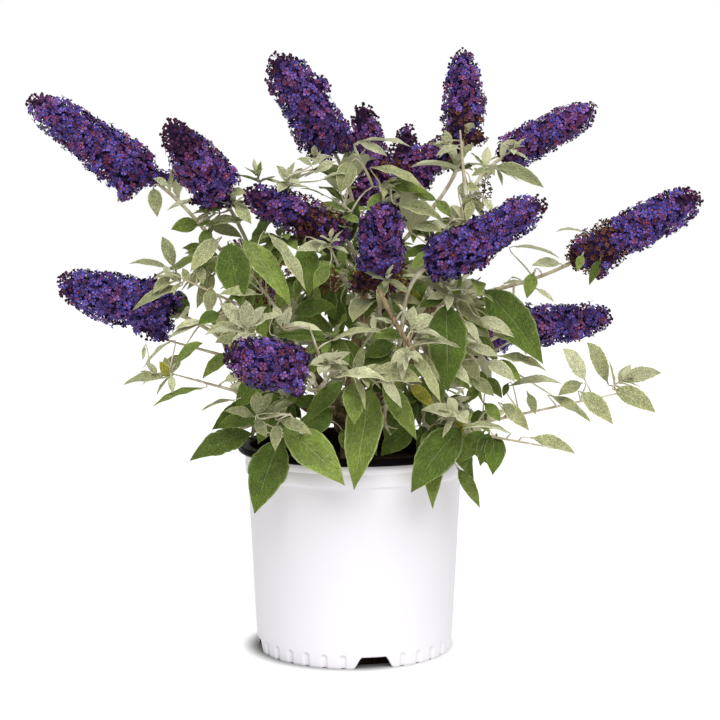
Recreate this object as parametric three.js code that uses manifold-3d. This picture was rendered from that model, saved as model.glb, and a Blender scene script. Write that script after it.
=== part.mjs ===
// A butterfly bush in its nursery pot, in millimetres, with +Z up and -Y to the front.
// The origin is the centre of the pot's flat underside. Bearings are degrees from +X towards +Y.

import * as THREE from "three";
import { mergeVertices } from "three/addons/utils/BufferGeometryUtils.js";
import Module from "manifold-3d";

const wasm = await Module();
wasm.setup();

// ---------------------------------------------------------------- driving dimensions

const GAP = 0.3; // between neighbouring pieces
const ROUND = 32; // facets round the pot

const POT = { height: 232.2, foot: 114.3, step: 207.5, brow: 128.2, wall: 2.6, stepDepth: 1.8 };
const FLOOR = { thick: 3, ring: 16, ringInner: 95 };
const LINING = { thick: 1.2 };
const RIM = { top: 241, bottom: 232.5, radius: 136.5, round: 2.6 };
const NOTCH = { count: 4, first: -78.75, foot: 48, head: 26, height: 13.5, deep: 15 };
const FLUTE = { perSide: 6, first: 17.5, pitch: 11, radius: 3.6, height: 14, deep: 1.2 };
const SOIL = { top: 216, dome: 3 };

const TRUNK = { foot: 19, neck: 12.5, head: 18, headHeight: 264, lean: [-7, 3] };
const BOUGH = { start: 5.8, end: 4.2, knuckle: 6.6, sides: 5, steps: 4 };
const STEM = { start: 2.8, end: 2.2, tip: 1.3, steps: 5 };
const TWIG = { radius: 1.7, least: 34, most: 56, angle: 42, chance: 0.1 };
const LEAF = { slender: 0.43, stalk: 1.3, sunk: 1, thick: 0.013, long: 106,
  pitch: 44, firstNode: 26, roll: 90 };
const BUD_PITCH = 26; // between the leaf pairs near the end of a leafy shoot
const SPIRE_SIDES = 6;
const SPACE_SHARE = 0.6; // how near a neighbour's stem a leaf may come, against its own stem
const FLOWERING_LEAF = { length: 114, hang: 0.35, spread: 58 }; // largest leaf on a flowering shoot

// Each bough leaves the trunk's head at a bearing and rise, and ends in a knuckle.
const BOUGHS = {
  left_high: { leaves: [180, 55], bearing: -174, reach: 95, height: 400 },
  left_low: { leaves: [204, 15], bearing: -156, reach: 98, height: 322 },
  front_left: { leaves: [250, 15], bearing: -114, reach: 98, height: 312 },
  front_right: { leaves: [300, 15], bearing: -59, reach: 87, height: 345 },
  right_high: { leaves: [0, 55], bearing: 0, reach: 90, height: 400 },
  right_low: { leaves: [345, 15], bearing: -24, reach: 88, height: 302 },
  top: { leaves: [270, 62], bearing: 34, reach: 18, height: 425 },
  back_centre: { leaves: [90, 55], bearing: 74, reach: 73, height: 400 },
  back_left: { leaves: [125, 15], bearing: 127, reach: 100, height: 335 },
  back_low: { leaves: [85, -5], bearing: 84, reach: 96, height: 300 },
  back_right: { leaves: [45, 15], bearing: 49, reach: 113, height: 335 },
};

// A shoot: its bough; where its last part starts (bearing, reach, height); that part's
// heading, pitch and length; and for a flowering one the girth of its spire.
const FLOWERING = {
  spire_left_far: ["left_high", -173, 235, 549, -163, 33, 160, 47],
  spire_left_near: ["left_high", -148, 169, 536, -112, 33, 129, 62],
  spire_centre_low: ["top", -110, 64, 488, -155, 23, 118, 44],
  spire_centre_high: ["top", 141, 32, 582, -142, 52, 134, 48],
  spire_back_dark: ["back_centre", 76, 123, 542, 157, 76, 100, 40],
  spire_back_slim: ["back_centre", 72, 178, 535, 61, 74, 85, 28],
  spire_back_leaning: ["back_centre", 58, 102, 548, -7, 29, 97, 38],
  spire_right_upright: ["top", 13, 130, 594, 87, 65, 119, 46],
  spire_right_high: ["right_high", 7, 174, 576, 24, 26, 135, 40],
  spire_front_centre: ["front_right", -77, 123, 437, -88, 39, 128, 50],
  spire_front_right: ["front_right", -60, 162, 452, -19, 29, 142, 48],
  spire_right_far: ["right_high", -9, 245, 470, -8, 23, 164, 46],
  spire_right_low: ["right_low", 6, 196, 354, 16, 17, 116, 42],
  spire_left_low: ["left_low", -163, 206, 389, -163, 16, 141, 58],
  spire_front_low: ["front_left", -103, 205, 345, -144, 14, 105, 52],
  spire_rear_left: ["back_left", 124, 196, 385, 112, 34, 145, 48],
  spire_rear_low: ["back_low", 81, 192, 385, 86, 12, 146, 46],
  spire_rear_right: ["back_right", 60, 197, 420, 60, 34, 140, 48],
  spire_rear_far: ["back_right", 36, 186, 345, 52, 20, 126, 44],
};

// A leafy shoot ends in a rosette. Its row closes with its largest leaf, how far leaves hang,
// and the angle that they spread at.
const LEAFY = {
  leafy_right_long: ["right_low", -31, 153, 272, -6, 13, 190, 76, 0.25, 58],
  leafy_right_front: ["right_low", -43, 175, 269, -22, -7, 100, 84, 0.35, 56],
  leafy_right_back: ["back_right", 28, 172, 342, 0, -32, 110, 84, 0.3, 58],
  leafy_left_low: ["left_low", -155, 143, 307, -153, 17, 90, 88, 0.2, 55],
  leafy_left_high: ["left_high", -139, 152, 403, -155, 25, 100, 90, 0.25, 58],
  leafy_front_silver: ["front_left", -101, 184, 355, -121, 59, 45, 84, 0.2, 55],
  leafy_front_rosette: ["front_left", -110, 170, 277, -104, 31, 46, 84, 0.4, 50],
  leafy_front_broad: ["front_right", -44, 155, 412, -40, 40, 45, 116, 0.5, 50],
  leafy_centre_left: ["front_left", -132, 120, 395, -128, 45, 70, 104, 0.4, 58],
  leafy_centre_right: ["right_high", -44, 120, 470, -40, 50, 50, 100, 0.4, 58],
  leafy_centre: ["top", -100, 82, 440, -95, 15, 40, 118, 0.6, 60],
  leafy_middle_left: ["front_left", -99, 132, 348, -95, 30, 34, 116, 0.5, 62],
  leafy_middle_right: ["front_right", -76, 132, 326, -70, 0, 34, 120, 0.6, 60],
  skirt_front: ["front_right", -72, 112, 276, -80, -12, 32, 120, 0.7, 38],
  skirt_front_right: ["right_low", -46, 122, 270, -50, -12, 32, 116, 0.7, 40],
  skirt_right: ["right_low", -6, 128, 264, -6, -8, 34, 108, 0.6, 42],
  skirt_front_left: ["front_left", -120, 118, 268, -112, -12, 30, 120, 0.7, 38],
  skirt_left: ["left_low", -152, 138, 268, -148, -12, 34, 112, 0.6, 42],
  leafy_top: ["top", 100, 70, 520, 60, 60, 55, 96, 0.3, 56],
  leafy_back_high: ["back_centre", 96, 120, 470, 104, 50, 60, 104, 0.4, 54],
  leafy_left_side: ["left_low", 176, 165, 345, 170, 14, 85, 104, 0.35, 55],
  skirt_back: ["back_low", 86, 132, 266, 88, -10, 40, 120, 0.6, 40],
  skirt_back_left: ["back_left", 132, 136, 268, 134, -10, 40, 116, 0.6, 40],
  skirt_back_right: ["back_right", 42, 140, 268, 40, -8, 44, 114, 0.6, 42],
  leafy_right_side: ["right_high", 26, 158, 440, 34, 36, 70, 104, 0.4, 54],
};

// ---------------------------------------------------------------- small helpers

const radians = THREE.MathUtils.degToRad;
const UP = new THREE.Vector3(0, 0, 1);

// Repeatable numbers between 0 and 1, in a row of their own for each seed.
function dice(seed) {
  let state = seed;
  return () => {
    state = (state + 0x6d2b79f5) | 0;
    let mixed = Math.imul(state ^ (state >>> 15), state | 1);
    mixed ^= mixed + Math.imul(mixed ^ (mixed >>> 7), mixed | 61);
    return ((mixed ^ (mixed >>> 14)) >>> 0) / 4294967296;
  };
}

// A shoot's own seed, from its name.
const seedOf = (name) => [...name].reduce((sum, letter) => (sum * 31 + letter.charCodeAt(0)) % 65536, 7);

function heading(bearing, pitch) {
  const flat = Math.cos(radians(pitch));
  const [x, y] = [Math.cos(radians(bearing)), Math.sin(radians(bearing))];
  return new THREE.Vector3(flat * x, flat * y, Math.sin(radians(pitch)));
}

function place(bearing, reach, height) {
  return heading(bearing, 0).multiplyScalar(reach).setZ(height);
}

const along = (from, direction, distance) => from.clone().addScaledVector(direction, distance);

// A three.js geometry as a solid: shared corners are joined and empty faces dropped.
function toSolid(geometry) {
  geometry.deleteAttribute("normal");
  geometry.deleteAttribute("uv");
  const merged = mergeVertices(geometry, 1e-3);
  const corners = merged.index.array;
  const faces = [];
  for (let i = 0; i < corners.length; i += 3) {
    const [a, b, c] = [corners[i], corners[i + 1], corners[i + 2]];
    if (a !== b && b !== c && c !== a) faces.push(a, b, c);
  }
  const vertProperties = new Float32Array(merged.getAttribute("position").array);
  const triVerts = new Uint32Array(faces);
  return new wasm.Manifold(new wasm.Mesh({ numProp: 3, vertProperties, triVerts }));
}

function toMesh(name, solid, finish) {
  const { vertProperties, triVerts } = solid.getMesh();
  const geometry = new THREE.BufferGeometry();
  geometry.setAttribute("position", new THREE.BufferAttribute(new Float32Array(vertProperties), 3));
  geometry.setIndex(new THREE.BufferAttribute(new Uint32Array(triVerts), 1));
  geometry.computeVertexNormals();
  const mesh = new THREE.Mesh(geometry, new THREE.MeshStandardMaterial(finish));
  mesh.name = name;
  return mesh;
}

// A round body from (radius, height) pairs that run up the outside.
function turned(profile) {
  const points = profile.map(([radius, height]) => new THREE.Vector2(radius, height));
  return toSolid(new THREE.LatheGeometry(points, ROUND).rotateX(Math.PI / 2));
}

// A body swept along a curve. Its section at each station has a half width and a half depth,
// which may differ from edge to edge round it, and its width lies along sideAt(tangent).
function sweep(curve, stations, sides, section, sideAt) {
  const body = new THREE.CylinderGeometry(1, 1, 1, sides, stations.length - 1);
  const corners = body.getAttribute("position");
  for (let i = 0; i < corners.count; i += 1) {
    const station = Math.round((corners.getY(i) + 0.5) * (stations.length - 1));
    const u = stations[station];
    const tangent = curve.getTangentAt(u);
    const side = sideAt(tangent);
    const depth = side.clone().cross(tangent);
    const turn = Math.atan2(corners.getX(i), corners.getZ(i)) / (2 * Math.PI);
    const [halfWidth, halfDepth] = section(u, (Math.round(turn * sides) + sides) % sides);
    const corner = along(curve.getPointAt(u), side, corners.getX(i) * halfWidth);
    corner.addScaledVector(depth, corners.getZ(i) * halfDepth);
    corners.setXYZ(i, corner.x, corner.y, corner.z);
  }
  return toSolid(body);
}

const evenly = (steps) => Array.from({ length: steps + 1 }, (_, i) => i / steps);

// A tapering limb: the plane that its curve bends in keeps its section from twisting.
function limb(curve, steps, sides, startRadius, endRadius) {
  const normal = curve.getTangentAt(0).cross(curve.getTangentAt(1));
  if (normal.length() < 0.05) normal.set(0.3, 1, 0.2).cross(curve.getTangentAt(0));
  normal.normalize();
  const section = (u) => Array(2).fill(THREE.MathUtils.lerp(startRadius, endRadius, u));
  return sweep(curve, evenly(steps), sides, section, (tangent) => normal.clone().cross(tangent).normalize());
}

function ball(centre, radius, detail) {
  const geometry = new THREE.IcosahedronGeometry(radius, detail);
  return toSolid(geometry.translate(centre.x, centre.y, centre.z));
}

// ---------------------------------------------------------------- pot and soil

const wallRadius = (height) => THREE.MathUtils.lerp(POT.foot, POT.brow - POT.stepDepth, height / POT.height);
const innerRadius = (height) => wallRadius(height) - POT.wall;

function potShell() {
  const profile = [
    [0, 0], [POT.foot, 0], [wallRadius(POT.step), POT.step],
    [POT.brow - 0.5, POT.step + POT.stepDepth], [POT.brow, POT.height],
    [innerRadius(POT.height), POT.height], [innerRadius(FLOOR.ring), FLOOR.ring],
    [FLOOR.ringInner + 2, FLOOR.ring], [FLOOR.ringInner, FLOOR.thick], [0, FLOOR.thick],
  ];
  return turned(profile);
}

// A drainage notch: a tapered opening through the foot of the wall.
function notch(bearing) {
  const outline = new THREE.Shape();
  outline.moveTo(-NOTCH.foot / 2, -1);
  outline.lineTo(NOTCH.foot / 2, -1);
  outline.lineTo(NOTCH.head / 2, NOTCH.height);
  outline.lineTo(-NOTCH.head / 2, NOTCH.height);
  outline.closePath();
  const block = new THREE.ExtrudeGeometry(outline, { depth: 2 * NOTCH.deep, bevelEnabled: false });
  block.rotateX(Math.PI / 2).translate(0, -(POT.foot - NOTCH.deep), 0);
  return toSolid(block.rotateZ(radians(bearing + 90)));
}

// A short round-headed groove pressed into the foot of the wall.
function flute(bearing) {
  const groove = new THREE.CylinderGeometry(FLUTE.radius, FLUTE.radius, FLUTE.height, 6);
  groove.rotateX(Math.PI / 2).translate(POT.foot + FLUTE.radius - FLUTE.deep, 0, FLUTE.height / 2 - 0.5);
  return toSolid(groove.rotateZ(radians(bearing)));
}

function pot() {
  const cutters = [];
  for (let side = 0; side < NOTCH.count; side += 1) {
    const bearing = NOTCH.first + (360 / NOTCH.count) * side;
    cutters.push(notch(bearing));
    for (let i = 0; i < FLUTE.perSide; i += 1) cutters.push(flute(bearing + FLUTE.first + FLUTE.pitch * i));
  }
  return potShell().subtract(wasm.Manifold.union(cutters));
}

function lining() {
  const bottom = FLOOR.ring + GAP;
  const outer = (height) => innerRadius(height) - GAP;
  return turned([
    [outer(bottom) - LINING.thick, bottom], [outer(bottom), bottom],
    [outer(POT.height), POT.height], [outer(POT.height) - LINING.thick, POT.height],
    [outer(bottom) - LINING.thick, bottom],
  ]);
}

function rim() {
  const inner = innerRadius(POT.height) - GAP - LINING.thick;
  const { top, bottom, radius, round } = RIM;
  return turned([
    [inner, bottom], [radius - round, bottom], [radius, bottom + round], [radius, top - round],
    [radius - round, top], [inner + 1.5, top], [inner, top - 1.5], [inner, bottom],
  ]);
}

function soil() {
  const inside = (height) => innerRadius(height) - LINING.thick - 2 * GAP;
  const foot = FLOOR.ring + GAP;
  return turned([
    [0, FLOOR.thick + GAP], [FLOOR.ringInner - GAP, FLOOR.thick + GAP],
    [FLOOR.ringInner + 2 - GAP, foot], [inside(foot), foot],
    [inside(SOIL.top - SOIL.dome), SOIL.top - SOIL.dome], [TRUNK.foot * 2, SOIL.top], [0, SOIL.top],
  ]);
}

// ---------------------------------------------------------------- trunk and boughs

const headCentre = new THREE.Vector3(TRUNK.lean[0], TRUNK.lean[1], TRUNK.headHeight);
const knuckleCentre = ({ bearing, reach, height }) => place(bearing, reach, height);

// A short leaning stool: flared at the soil, drawn in above it, and swollen where the boughs leave.
function trunk() {
  const bottom = SOIL.top + GAP;
  const foot = new THREE.Vector3(0, 0, bottom);
  const axis = new THREE.LineCurve3(foot, headCentre);
  const radius = (u) => TRUNK.neck + (TRUNK.foot - TRUNK.neck) * (1 - u) ** 3;
  const section = (u) => [radius(u), radius(u) * 0.9];
  const level = () => new THREE.Vector3(1, 0, 0);
  const shaft = sweep(axis, evenly(5), 8, section, level);
  return shaft.add(ball(headCentre, TRUNK.head, 1)).trimByPlane([0, 0, 1], bottom);
}

function boughCurve(bough) {
  const leaves = heading(...bough.leaves);
  const start = along(headCentre, leaves, TRUNK.head + GAP);
  const end = knuckleCentre(bough);
  const span = start.distanceTo(end);
  const arrives = end.clone().sub(along(start, leaves, span * 0.5)).lerp(UP, 0.15).normalize();
  const bends = [along(start, leaves, span * 0.35), along(end, arrives, -span * 0.35)];
  return new THREE.CubicBezierCurve3(start, ...bends, end);
}

function boughSolid(bough) {
  const shaft = limb(boughCurve(bough), BOUGH.steps, BOUGH.sides, BOUGH.start, BOUGH.end);
  return shaft.add(ball(knuckleCentre(bough), BOUGH.knuckle, 0));
}

// ---------------------------------------------------------------- shoots

// Turns directions apart until no two are nearer than `least` radians. The first one stays.
function spread(directions, least) {
  for (let round = 0; round < 120; round += 1) {
    for (let j = 1; j < directions.length; j += 1) {
      for (let i = 0; i < j; i += 1) {
        const short = least - directions[i].angleTo(directions[j]);
        if (short <= 0) continue;
        const push = directions[j].clone().sub(directions[i]).setLength(short / 2);
        directions[j].add(push).normalize();
        if (i > 0) directions[i].sub(push).normalize();
      }
    }
  }
}

// Reads the rows of both kinds of shoot and gives each its own way out of its bough's knuckle.
function readShoots() {
  const shoots = [];
  const rows = [...Object.entries(FLOWERING), ...Object.entries(LEAFY)];
  rows.forEach(([name, row], index) => {
    const [bough, bearing, reach, height, turn, pitch, length] = row;
    const foot = place(bearing, reach, height);
    const flowering = name in FLOWERING;
    const ahead = heading(turn, pitch);
    const tip = along(foot, ahead, length);
    const leaf = flowering ? FLOWERING_LEAF : { length: row[7], hang: row[8], spread: row[9] };
    shoots.push({ name, index, bough, foot, ahead, length, tip, leaf, girth: flowering ? row[7] : 0 });
  });
  for (const [name, bough] of Object.entries(BOUGHS)) {
    const family = shoots.filter((shoot) => shoot.bough === name);
    const centre = knuckleCentre(bough);
    const back = boughCurve(bough).getTangentAt(1).negate();
    const ways = family.map((shoot) => shoot.foot.clone().sub(centre).normalize());
    spread([back, ...ways], radians(46));
    family.forEach((shoot, i) => Object.assign(shoot, { leaves: ways[i], centre }));
  }
  return shoots;
}

// The middle of a swept limb, which runs straight from one of its stations to the next.
function onChord(curve, u, steps) {
  const station = Math.min(Math.floor(u * steps), steps - 1);
  const next = curve.getPointAt((station + 1) / steps);
  return curve.getPointAt(station / steps).lerp(next, u * steps - station);
}

function stemCurve({ centre, leaves, foot, ahead }) {
  const start = along(centre, leaves, BOUGH.knuckle + GAP);
  const span = start.distanceTo(foot);
  const bends = [along(start, leaves, span * 0.35), along(foot, ahead, -span * 0.35)];
  return new THREE.CubicBezierCurve3(start, ...bends, foot);
}

// A flower spire: a lumpy tapering cone round the end of its stem.
function spire({ name, foot, ahead, length, girth }) {
  const roll = dice(seedOf(name) + 1);
  const stations = [0, 0.12, 0.32, 0.56, 0.8, 1];
  const girths = [0.55, 0.95, 1, 0.9, 0.7, 0.26];
  const lumps = Array.from({ length: stations.length * SPIRE_SIDES }, () => 0.92 + 0.16 * roll());
  const axis = new THREE.LineCurve3(along(foot, ahead, -3), along(foot, ahead, length));
  const side = new THREE.Vector3().crossVectors(UP, ahead).normalize();
  const section = (u, edge) => {
    const ring = stations.indexOf(u);
    const radius = (girth / 2) * girths[ring] * lumps[ring * SPIRE_SIDES + edge];
    return [radius, radius];
  };
  return sweep(axis, stations, SPIRE_SIDES, section, () => side);
}

// A leaf: a keel under two edges, from a point sunk in the stem, through its stalk, to its tip.
function leafSolid({ root, direction, face, length, hang }) {
  const start = along(root, direction, -LEAF.sunk);
  const tip = along(along(root, direction, length * (1 - 0.35 * hang)), UP, -length * hang * 0.75);
  const curve = new THREE.QuadraticBezierCurve3(start, along(root, direction, length * 0.5), tip);
  const side = new THREE.Vector3().crossVectors(face, direction).normalize();
  const halfWidth = (length * LEAF.slender) / 2 / Math.cos(Math.PI / 6);
  const keel = Math.max(0.9, length * LEAF.thick);
  const blade = length > LEAF.long
    ? { 0.36: [halfWidth * 0.97, keel], 0.68: [halfWidth * 0.78, keel] }
    : { 0.44: [halfWidth, keel] };
  const sections = { 0: [0, 0], 0.09: [LEAF.stalk, LEAF.stalk * 0.7], ...blade, 1: [0, 0] };
  const stations = Object.keys(sections).map(Number);
  return sweep(curve, stations.sort((a, b) => a - b), 3, (u) => sections[u], () => side);
}

// The way out from a stem at an angle to it, rolled round it from its level side.
function offshoot(tangent, rollAngle, spreadAngle) {
  const level = new THREE.Vector3().crossVectors(tangent, UP).normalize();
  const upper = new THREE.Vector3().crossVectors(level, tangent);
  const out = level.multiplyScalar(Math.cos(rollAngle)).addScaledVector(upper, Math.sin(rollAngle));
  return out.multiplyScalar(Math.sin(spreadAngle)).addScaledVector(tangent, Math.cos(spreadAngle));
}

// A leaf turns its upper face between its stem's way and the sky.
function faceOf(direction, tangent) {
  const face = tangent.clone().multiplyScalar(0.6).add(UP);
  return face.addScaledVector(direction, -face.dot(direction)).normalize();
}

// Two leaves on opposite sides of a stem. `grade` scales the shoot's largest leaf.
function leafPair(root, tangent, rollAngle, { length, hang, spread: opening }, grade, roll) {
  return [0, Math.PI].map((half) => {
    const turn = rollAngle + half + radians(-10 + 20 * roll());
    const direction = offshoot(tangent, turn, radians(opening - 8 + 16 * roll()));
    const size = length * grade * (0.9 + 0.2 * roll());
    return { root, direction, face: faceOf(direction, tangent), length: size, hang };
  });
}

// Everything that grows on a shoot, in order: leaf pairs, side twigs with theirs, and its end.
function growth(shoot) {
  const roll = dice(seedOf(shoot.name));
  const stem = stemCurve(shoot);
  const reach = stem.getLength();
  const parts = [];
  let turn = roll() * Math.PI;
  for (let at = LEAF.firstNode; at < reach - 6; at += LEAF.pitch) {
    const u = at / reach;
    const [root, tangent] = [onChord(stem, u, STEM.steps), stem.getTangentAt(u)];
    const grade = 1.08 - 0.42 * u;
    for (const leaf of leafPair(root, tangent, turn, shoot.leaf, grade, roll)) parts.push({ leaf });
    for (const half of [0, Math.PI]) {
      const grows = roll() < TWIG.chance;
      const span = THREE.MathUtils.lerp(TWIG.least, TWIG.most, roll());
      const twig = sideTwig(root, tangent, turn + half + radians(35), span, shoot.leaf, roll);
      if (grows) parts.push(twig);
    }
    turn += radians(LEAF.roll - 8 + 16 * roll());
  }
  if (shoot.girth === 0) parts.push(...rosette(shoot, turn, roll));
  return parts;
}

function sideTwig(root, tangent, turn, span, leaf, roll) {
  const direction = offshoot(tangent, turn, radians(TWIG.angle)).addScaledVector(UP, 0.25).normalize();
  const curve = new THREE.LineCurve3(root, along(root, direction, span));
  const firstTurn = roll() * Math.PI;
  const leaves = [0.5, 0.97].flatMap((u, pair) => {
    const at = along(root, direction, span * u);
    return leafPair(at, direction, firstTurn + (pair * Math.PI) / 2, leaf, pair ? 0.45 : 0.55, roll);
  });
  return { twig: curve, leaves };
}

// Closing leaf pairs along the end of a leafy shoot, smaller and nearer together to its tip.
function rosette(shoot, firstTurn, roll) {
  const parts = [];
  let turn = firstTurn;
  let at = 0;
  while (at < shoot.length) {
    const u = at / shoot.length;
    const root = along(shoot.foot, shoot.ahead, at);
    const grade = THREE.MathUtils.lerp(0.74, 0.4, u);
    for (const leaf of leafPair(root, shoot.ahead, turn, shoot.leaf, grade, roll)) parts.push({ leaf });
    turn += Math.PI / 2;
    at += THREE.MathUtils.lerp(BUD_PITCH + 12, BUD_PITCH, u);
  }
  return parts;
}

// The middle of a shoot, which nothing else may touch: its stem, and its spire or leafy end.
function core(shoot) {
  const stem = stemCurve(shoot);
  const shaft = limb(stem, STEM.steps, 3, STEM.start, STEM.end);
  if (shoot.girth > 0) return shaft.add(spire(shoot));
  const last = new THREE.LineCurve3(along(shoot.foot, shoot.ahead, -2), shoot.tip);
  return shaft.add(limb(last, 1, 3, STEM.end, STEM.tip));
}

// ---------------------------------------------------------------- room to grow

function boxesMeet(a, b) {
  return [0, 1, 2].every((axis) => a.min[axis] - GAP < b.max[axis] && b.min[axis] - GAP < a.max[axis]);
}

function isClear(piece, others) {
  const box = piece.boundingBox();
  const near = others.filter((other) => boxesMeet(box, other.box));
  return near.every((other) => piece.minGap(other.solid, 2 * GAP) >= GAP);
}

const boxed = (solid) => ({ solid, box: solid.boundingBox() });

// Points along a shoot's middle, which measure whose space a place belongs to.
function spine(shoot) {
  const points = stemCurve(shoot).getSpacedPoints(14);
  for (let at = 0; at <= shoot.length; at += 14) points.push(along(shoot.foot, shoot.ahead, at));
  return points;
}

const nearest = (point, points) => Math.min(...points.map((other) => other.distanceTo(point)));

function inOwnSpace(point, own, spines) {
  const reach = nearest(point, spines[own]) * SPACE_SHARE;
  return spines.every((points, index) => index === own || nearest(point, points) >= reach);
}

// Grows one shoot on its core. A twig or leaf that leaves the space or meets a neighbour is skipped.
function growShoot(shoot, coreSolid, spines, neighbours) {
  const pieces = [coreSolid];
  const fits = (solid, middle) => inOwnSpace(middle, shoot.index, spines) && isClear(solid, neighbours);
  const addLeaf = (leaf) => {
    const solid = leafSolid(leaf);
    if (fits(solid, along(leaf.root, leaf.direction, leaf.length * 0.6))) pieces.push(solid);
  };
  for (const part of growth(shoot)) {
    if (part.leaf) {
      addLeaf(part.leaf);
      continue;
    }
    const solid = limb(part.twig, 1, 3, TWIG.radius, TWIG.radius * 0.6);
    if (!fits(solid, part.twig.getPoint(0.7))) continue;
    pieces.push(solid);
    part.leaves.forEach(addLeaf);
  }
  return wasm.Manifold.union(pieces).simplify(0.02);
}

// ---------------------------------------------------------------- assembly

const FINISH = {
  white: { color: "#f1f0f3", roughness: 0.42, metalness: 0 },
  black: { color: "#17151a", roughness: 0.38, metalness: 0 },
  soil: { color: "#33261c", roughness: 0.95, metalness: 0 },
  bark: { color: "#8b765a", roughness: 0.9, metalness: 0 },
  leaf: { color: "#71804a", roughness: 0.75, metalness: 0 },
  blossom: { color: "#4b3478", roughness: 0.8, metalness: 0 },
};

function build() {
  const bush = new THREE.Group();
  bush.name = "butterfly_bush";
  const fixed = [];
  const add = (name, solid, finish) => {
    fixed.push(boxed(solid));
    bush.add(toMesh(name, solid, finish));
  };
  add("pot", pot(), FINISH.white);
  add("pot_lining", lining(), FINISH.black);
  add("pot_rim", rim(), FINISH.black);
  add("potting_mix", soil(), FINISH.soil);
  add("trunk", trunk(), FINISH.bark);
  for (const [name, bough] of Object.entries(BOUGHS)) add(`bough_${name}`, boughSolid(bough), FINISH.bark);

  const shoots = readShoots();
  const spines = shoots.map(spine);
  const bodies = shoots.map((shoot) => boxed(core(shoot)));
  for (const shoot of shoots) {
    const neighbours = [...fixed, ...bodies.filter((_, index) => index !== shoot.index)];
    const grown = growShoot(shoot, bodies[shoot.index].solid, spines, neighbours);
    bodies[shoot.index] = boxed(grown);
    bush.add(toMesh(shoot.name, grown, shoot.girth > 0 ? FINISH.blossom : FINISH.leaf));
  }
  return bush;
}

export default build();
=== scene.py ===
"""A butterfly bush in its nursery pot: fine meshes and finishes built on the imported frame.

Tables and shape functions are in millimetres. Heap, Envelope and Threads turn them to metres.
Bearings are degrees from +X towards +Y, and the plant's front faces -Y.
"""

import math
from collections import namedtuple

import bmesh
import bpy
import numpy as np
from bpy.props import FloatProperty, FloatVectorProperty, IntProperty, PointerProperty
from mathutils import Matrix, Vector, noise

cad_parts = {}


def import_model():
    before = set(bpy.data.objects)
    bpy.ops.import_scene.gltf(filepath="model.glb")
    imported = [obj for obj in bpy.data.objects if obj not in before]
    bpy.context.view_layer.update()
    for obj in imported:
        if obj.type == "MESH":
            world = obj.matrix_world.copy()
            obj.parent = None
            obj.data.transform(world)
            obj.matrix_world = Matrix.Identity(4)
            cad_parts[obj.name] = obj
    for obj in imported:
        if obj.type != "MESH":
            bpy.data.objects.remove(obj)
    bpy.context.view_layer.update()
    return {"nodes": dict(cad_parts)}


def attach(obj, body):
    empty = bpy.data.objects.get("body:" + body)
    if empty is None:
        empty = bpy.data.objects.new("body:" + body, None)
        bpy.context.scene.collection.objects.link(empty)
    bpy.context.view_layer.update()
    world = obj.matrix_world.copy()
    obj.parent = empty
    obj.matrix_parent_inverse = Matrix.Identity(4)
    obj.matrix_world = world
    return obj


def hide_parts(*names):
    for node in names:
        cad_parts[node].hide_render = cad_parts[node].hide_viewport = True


bl_info = {
    "name": "Butterfly Bush in a Nursery Pot",
    "version": (1, 0, 0),
    "blender": (4, 5, 0),
    "location": "3D View > Sidebar > Bush",
    "description": "Builds a flowering butterfly bush, its potting mix and its pot",
    "category": "Add Mesh",
}

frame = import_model()

MM = 0.001
UP = Vector((0, 0, 1))

# ---------------------------------------------------------------- the plant's tables

POT = {"foot": 114.3, "step": 207.5, "brow": 128.2, "wall": 2.6, "step_depth": 1.8, "height": 232.2}
RIM = {"radius": 136.5, "bottom": 232.5, "top": 241.0, "lining": 1.2}
NOTCH = {"count": 4, "first": -78.75, "foot": 48.0, "head": 26.0, "height": 13.5}
FLUTE = {"per_side": 6, "first": 17.5, "pitch": 11.0, "radius": 4.4, "height": 16.5, "deep": 2.1}
SOIL = {"top": 216.0, "dome": 3.0}
TRUNK = {"foot": 19.0, "neck": 12.5, "head": 18.0, "lean": (-7.0, 3.0), "head_height": 264.0}
BOUGH = {"start": 5.8, "end": 4.2, "knuckle": 6.6}
STEM = {"start": 2.8, "end": 2.2, "tip": 1.1, "steps": 5}
TWIG = {"radius": 1.5, "least": 34.0, "most": 56.0, "angle": 42.0, "chance": 0.1, "turn": 35.0}
TWIG_PAIRS = ((0.5, 0.55), (0.97, 0.45))  # how far along, and the size of its leaves
LEAF = {"slender": 0.38, "pitch": 44.0, "first_node": 26.0, "roll": 90.0, "bud_pitch": 26.0}
LEAF_SIZE = {"lowest": 1.08, "drop": 0.42}  # along a stem, as shares of the largest leaf
SWAY = {"roll": 10, "opening": 8, "size": 0.1, "turn": 8}  # how far chance goes either way
FLOWERING_LEAF = (114.0, 0.35, 58.0)
AXIL = {
    "chance": 0.4, "radius": 0.95, "span": (12, 36), "turn": 0.3, "angle": (28, 46), "rise": 0.3,
    "size": (0.26, 0.42), "hang": 0.25, "opening": 46, "pairs": ((0.55, 1.0), (1.0, 0.75)),
}
COLLAR = ((0.985, 0.3, 0.44, 0), (0.86, 0.4, 0.55, 1.5))  # place, least and largest size, turn
ROSETTE = {"foot": 0.74, "tip": 0.4, "widening": 12, "buds": (0.24, 0.16)}
BETWEEN = {"hang": 0.7, "opening": 0.85, "foot": 0.52, "drop": 0.2, "vary": (0.75, 1.0)}
SPRIG = {"pair_pitch": 12, "opening": 66, "closing": 36, "sway": 24, "vary": (0.8, 1.15), "thick": 1.3}
HANDLE = 0.35  # length of a curve's handles, as a share of its span
SAG = 0.06  # how far a twig's middle hangs, as a share of its length
KNUCKLE_ANGLE = 46  # least angle between two stems of one bough, in degrees
SPREAD_ROUNDS = 120
SPINE_STEPS, SPINE_PITCH = 14, 14  # stations of a stem's middle, and their pitch along its last part
BARE_END = 6  # length of a stem's end that bears no pair of leaves
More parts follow.
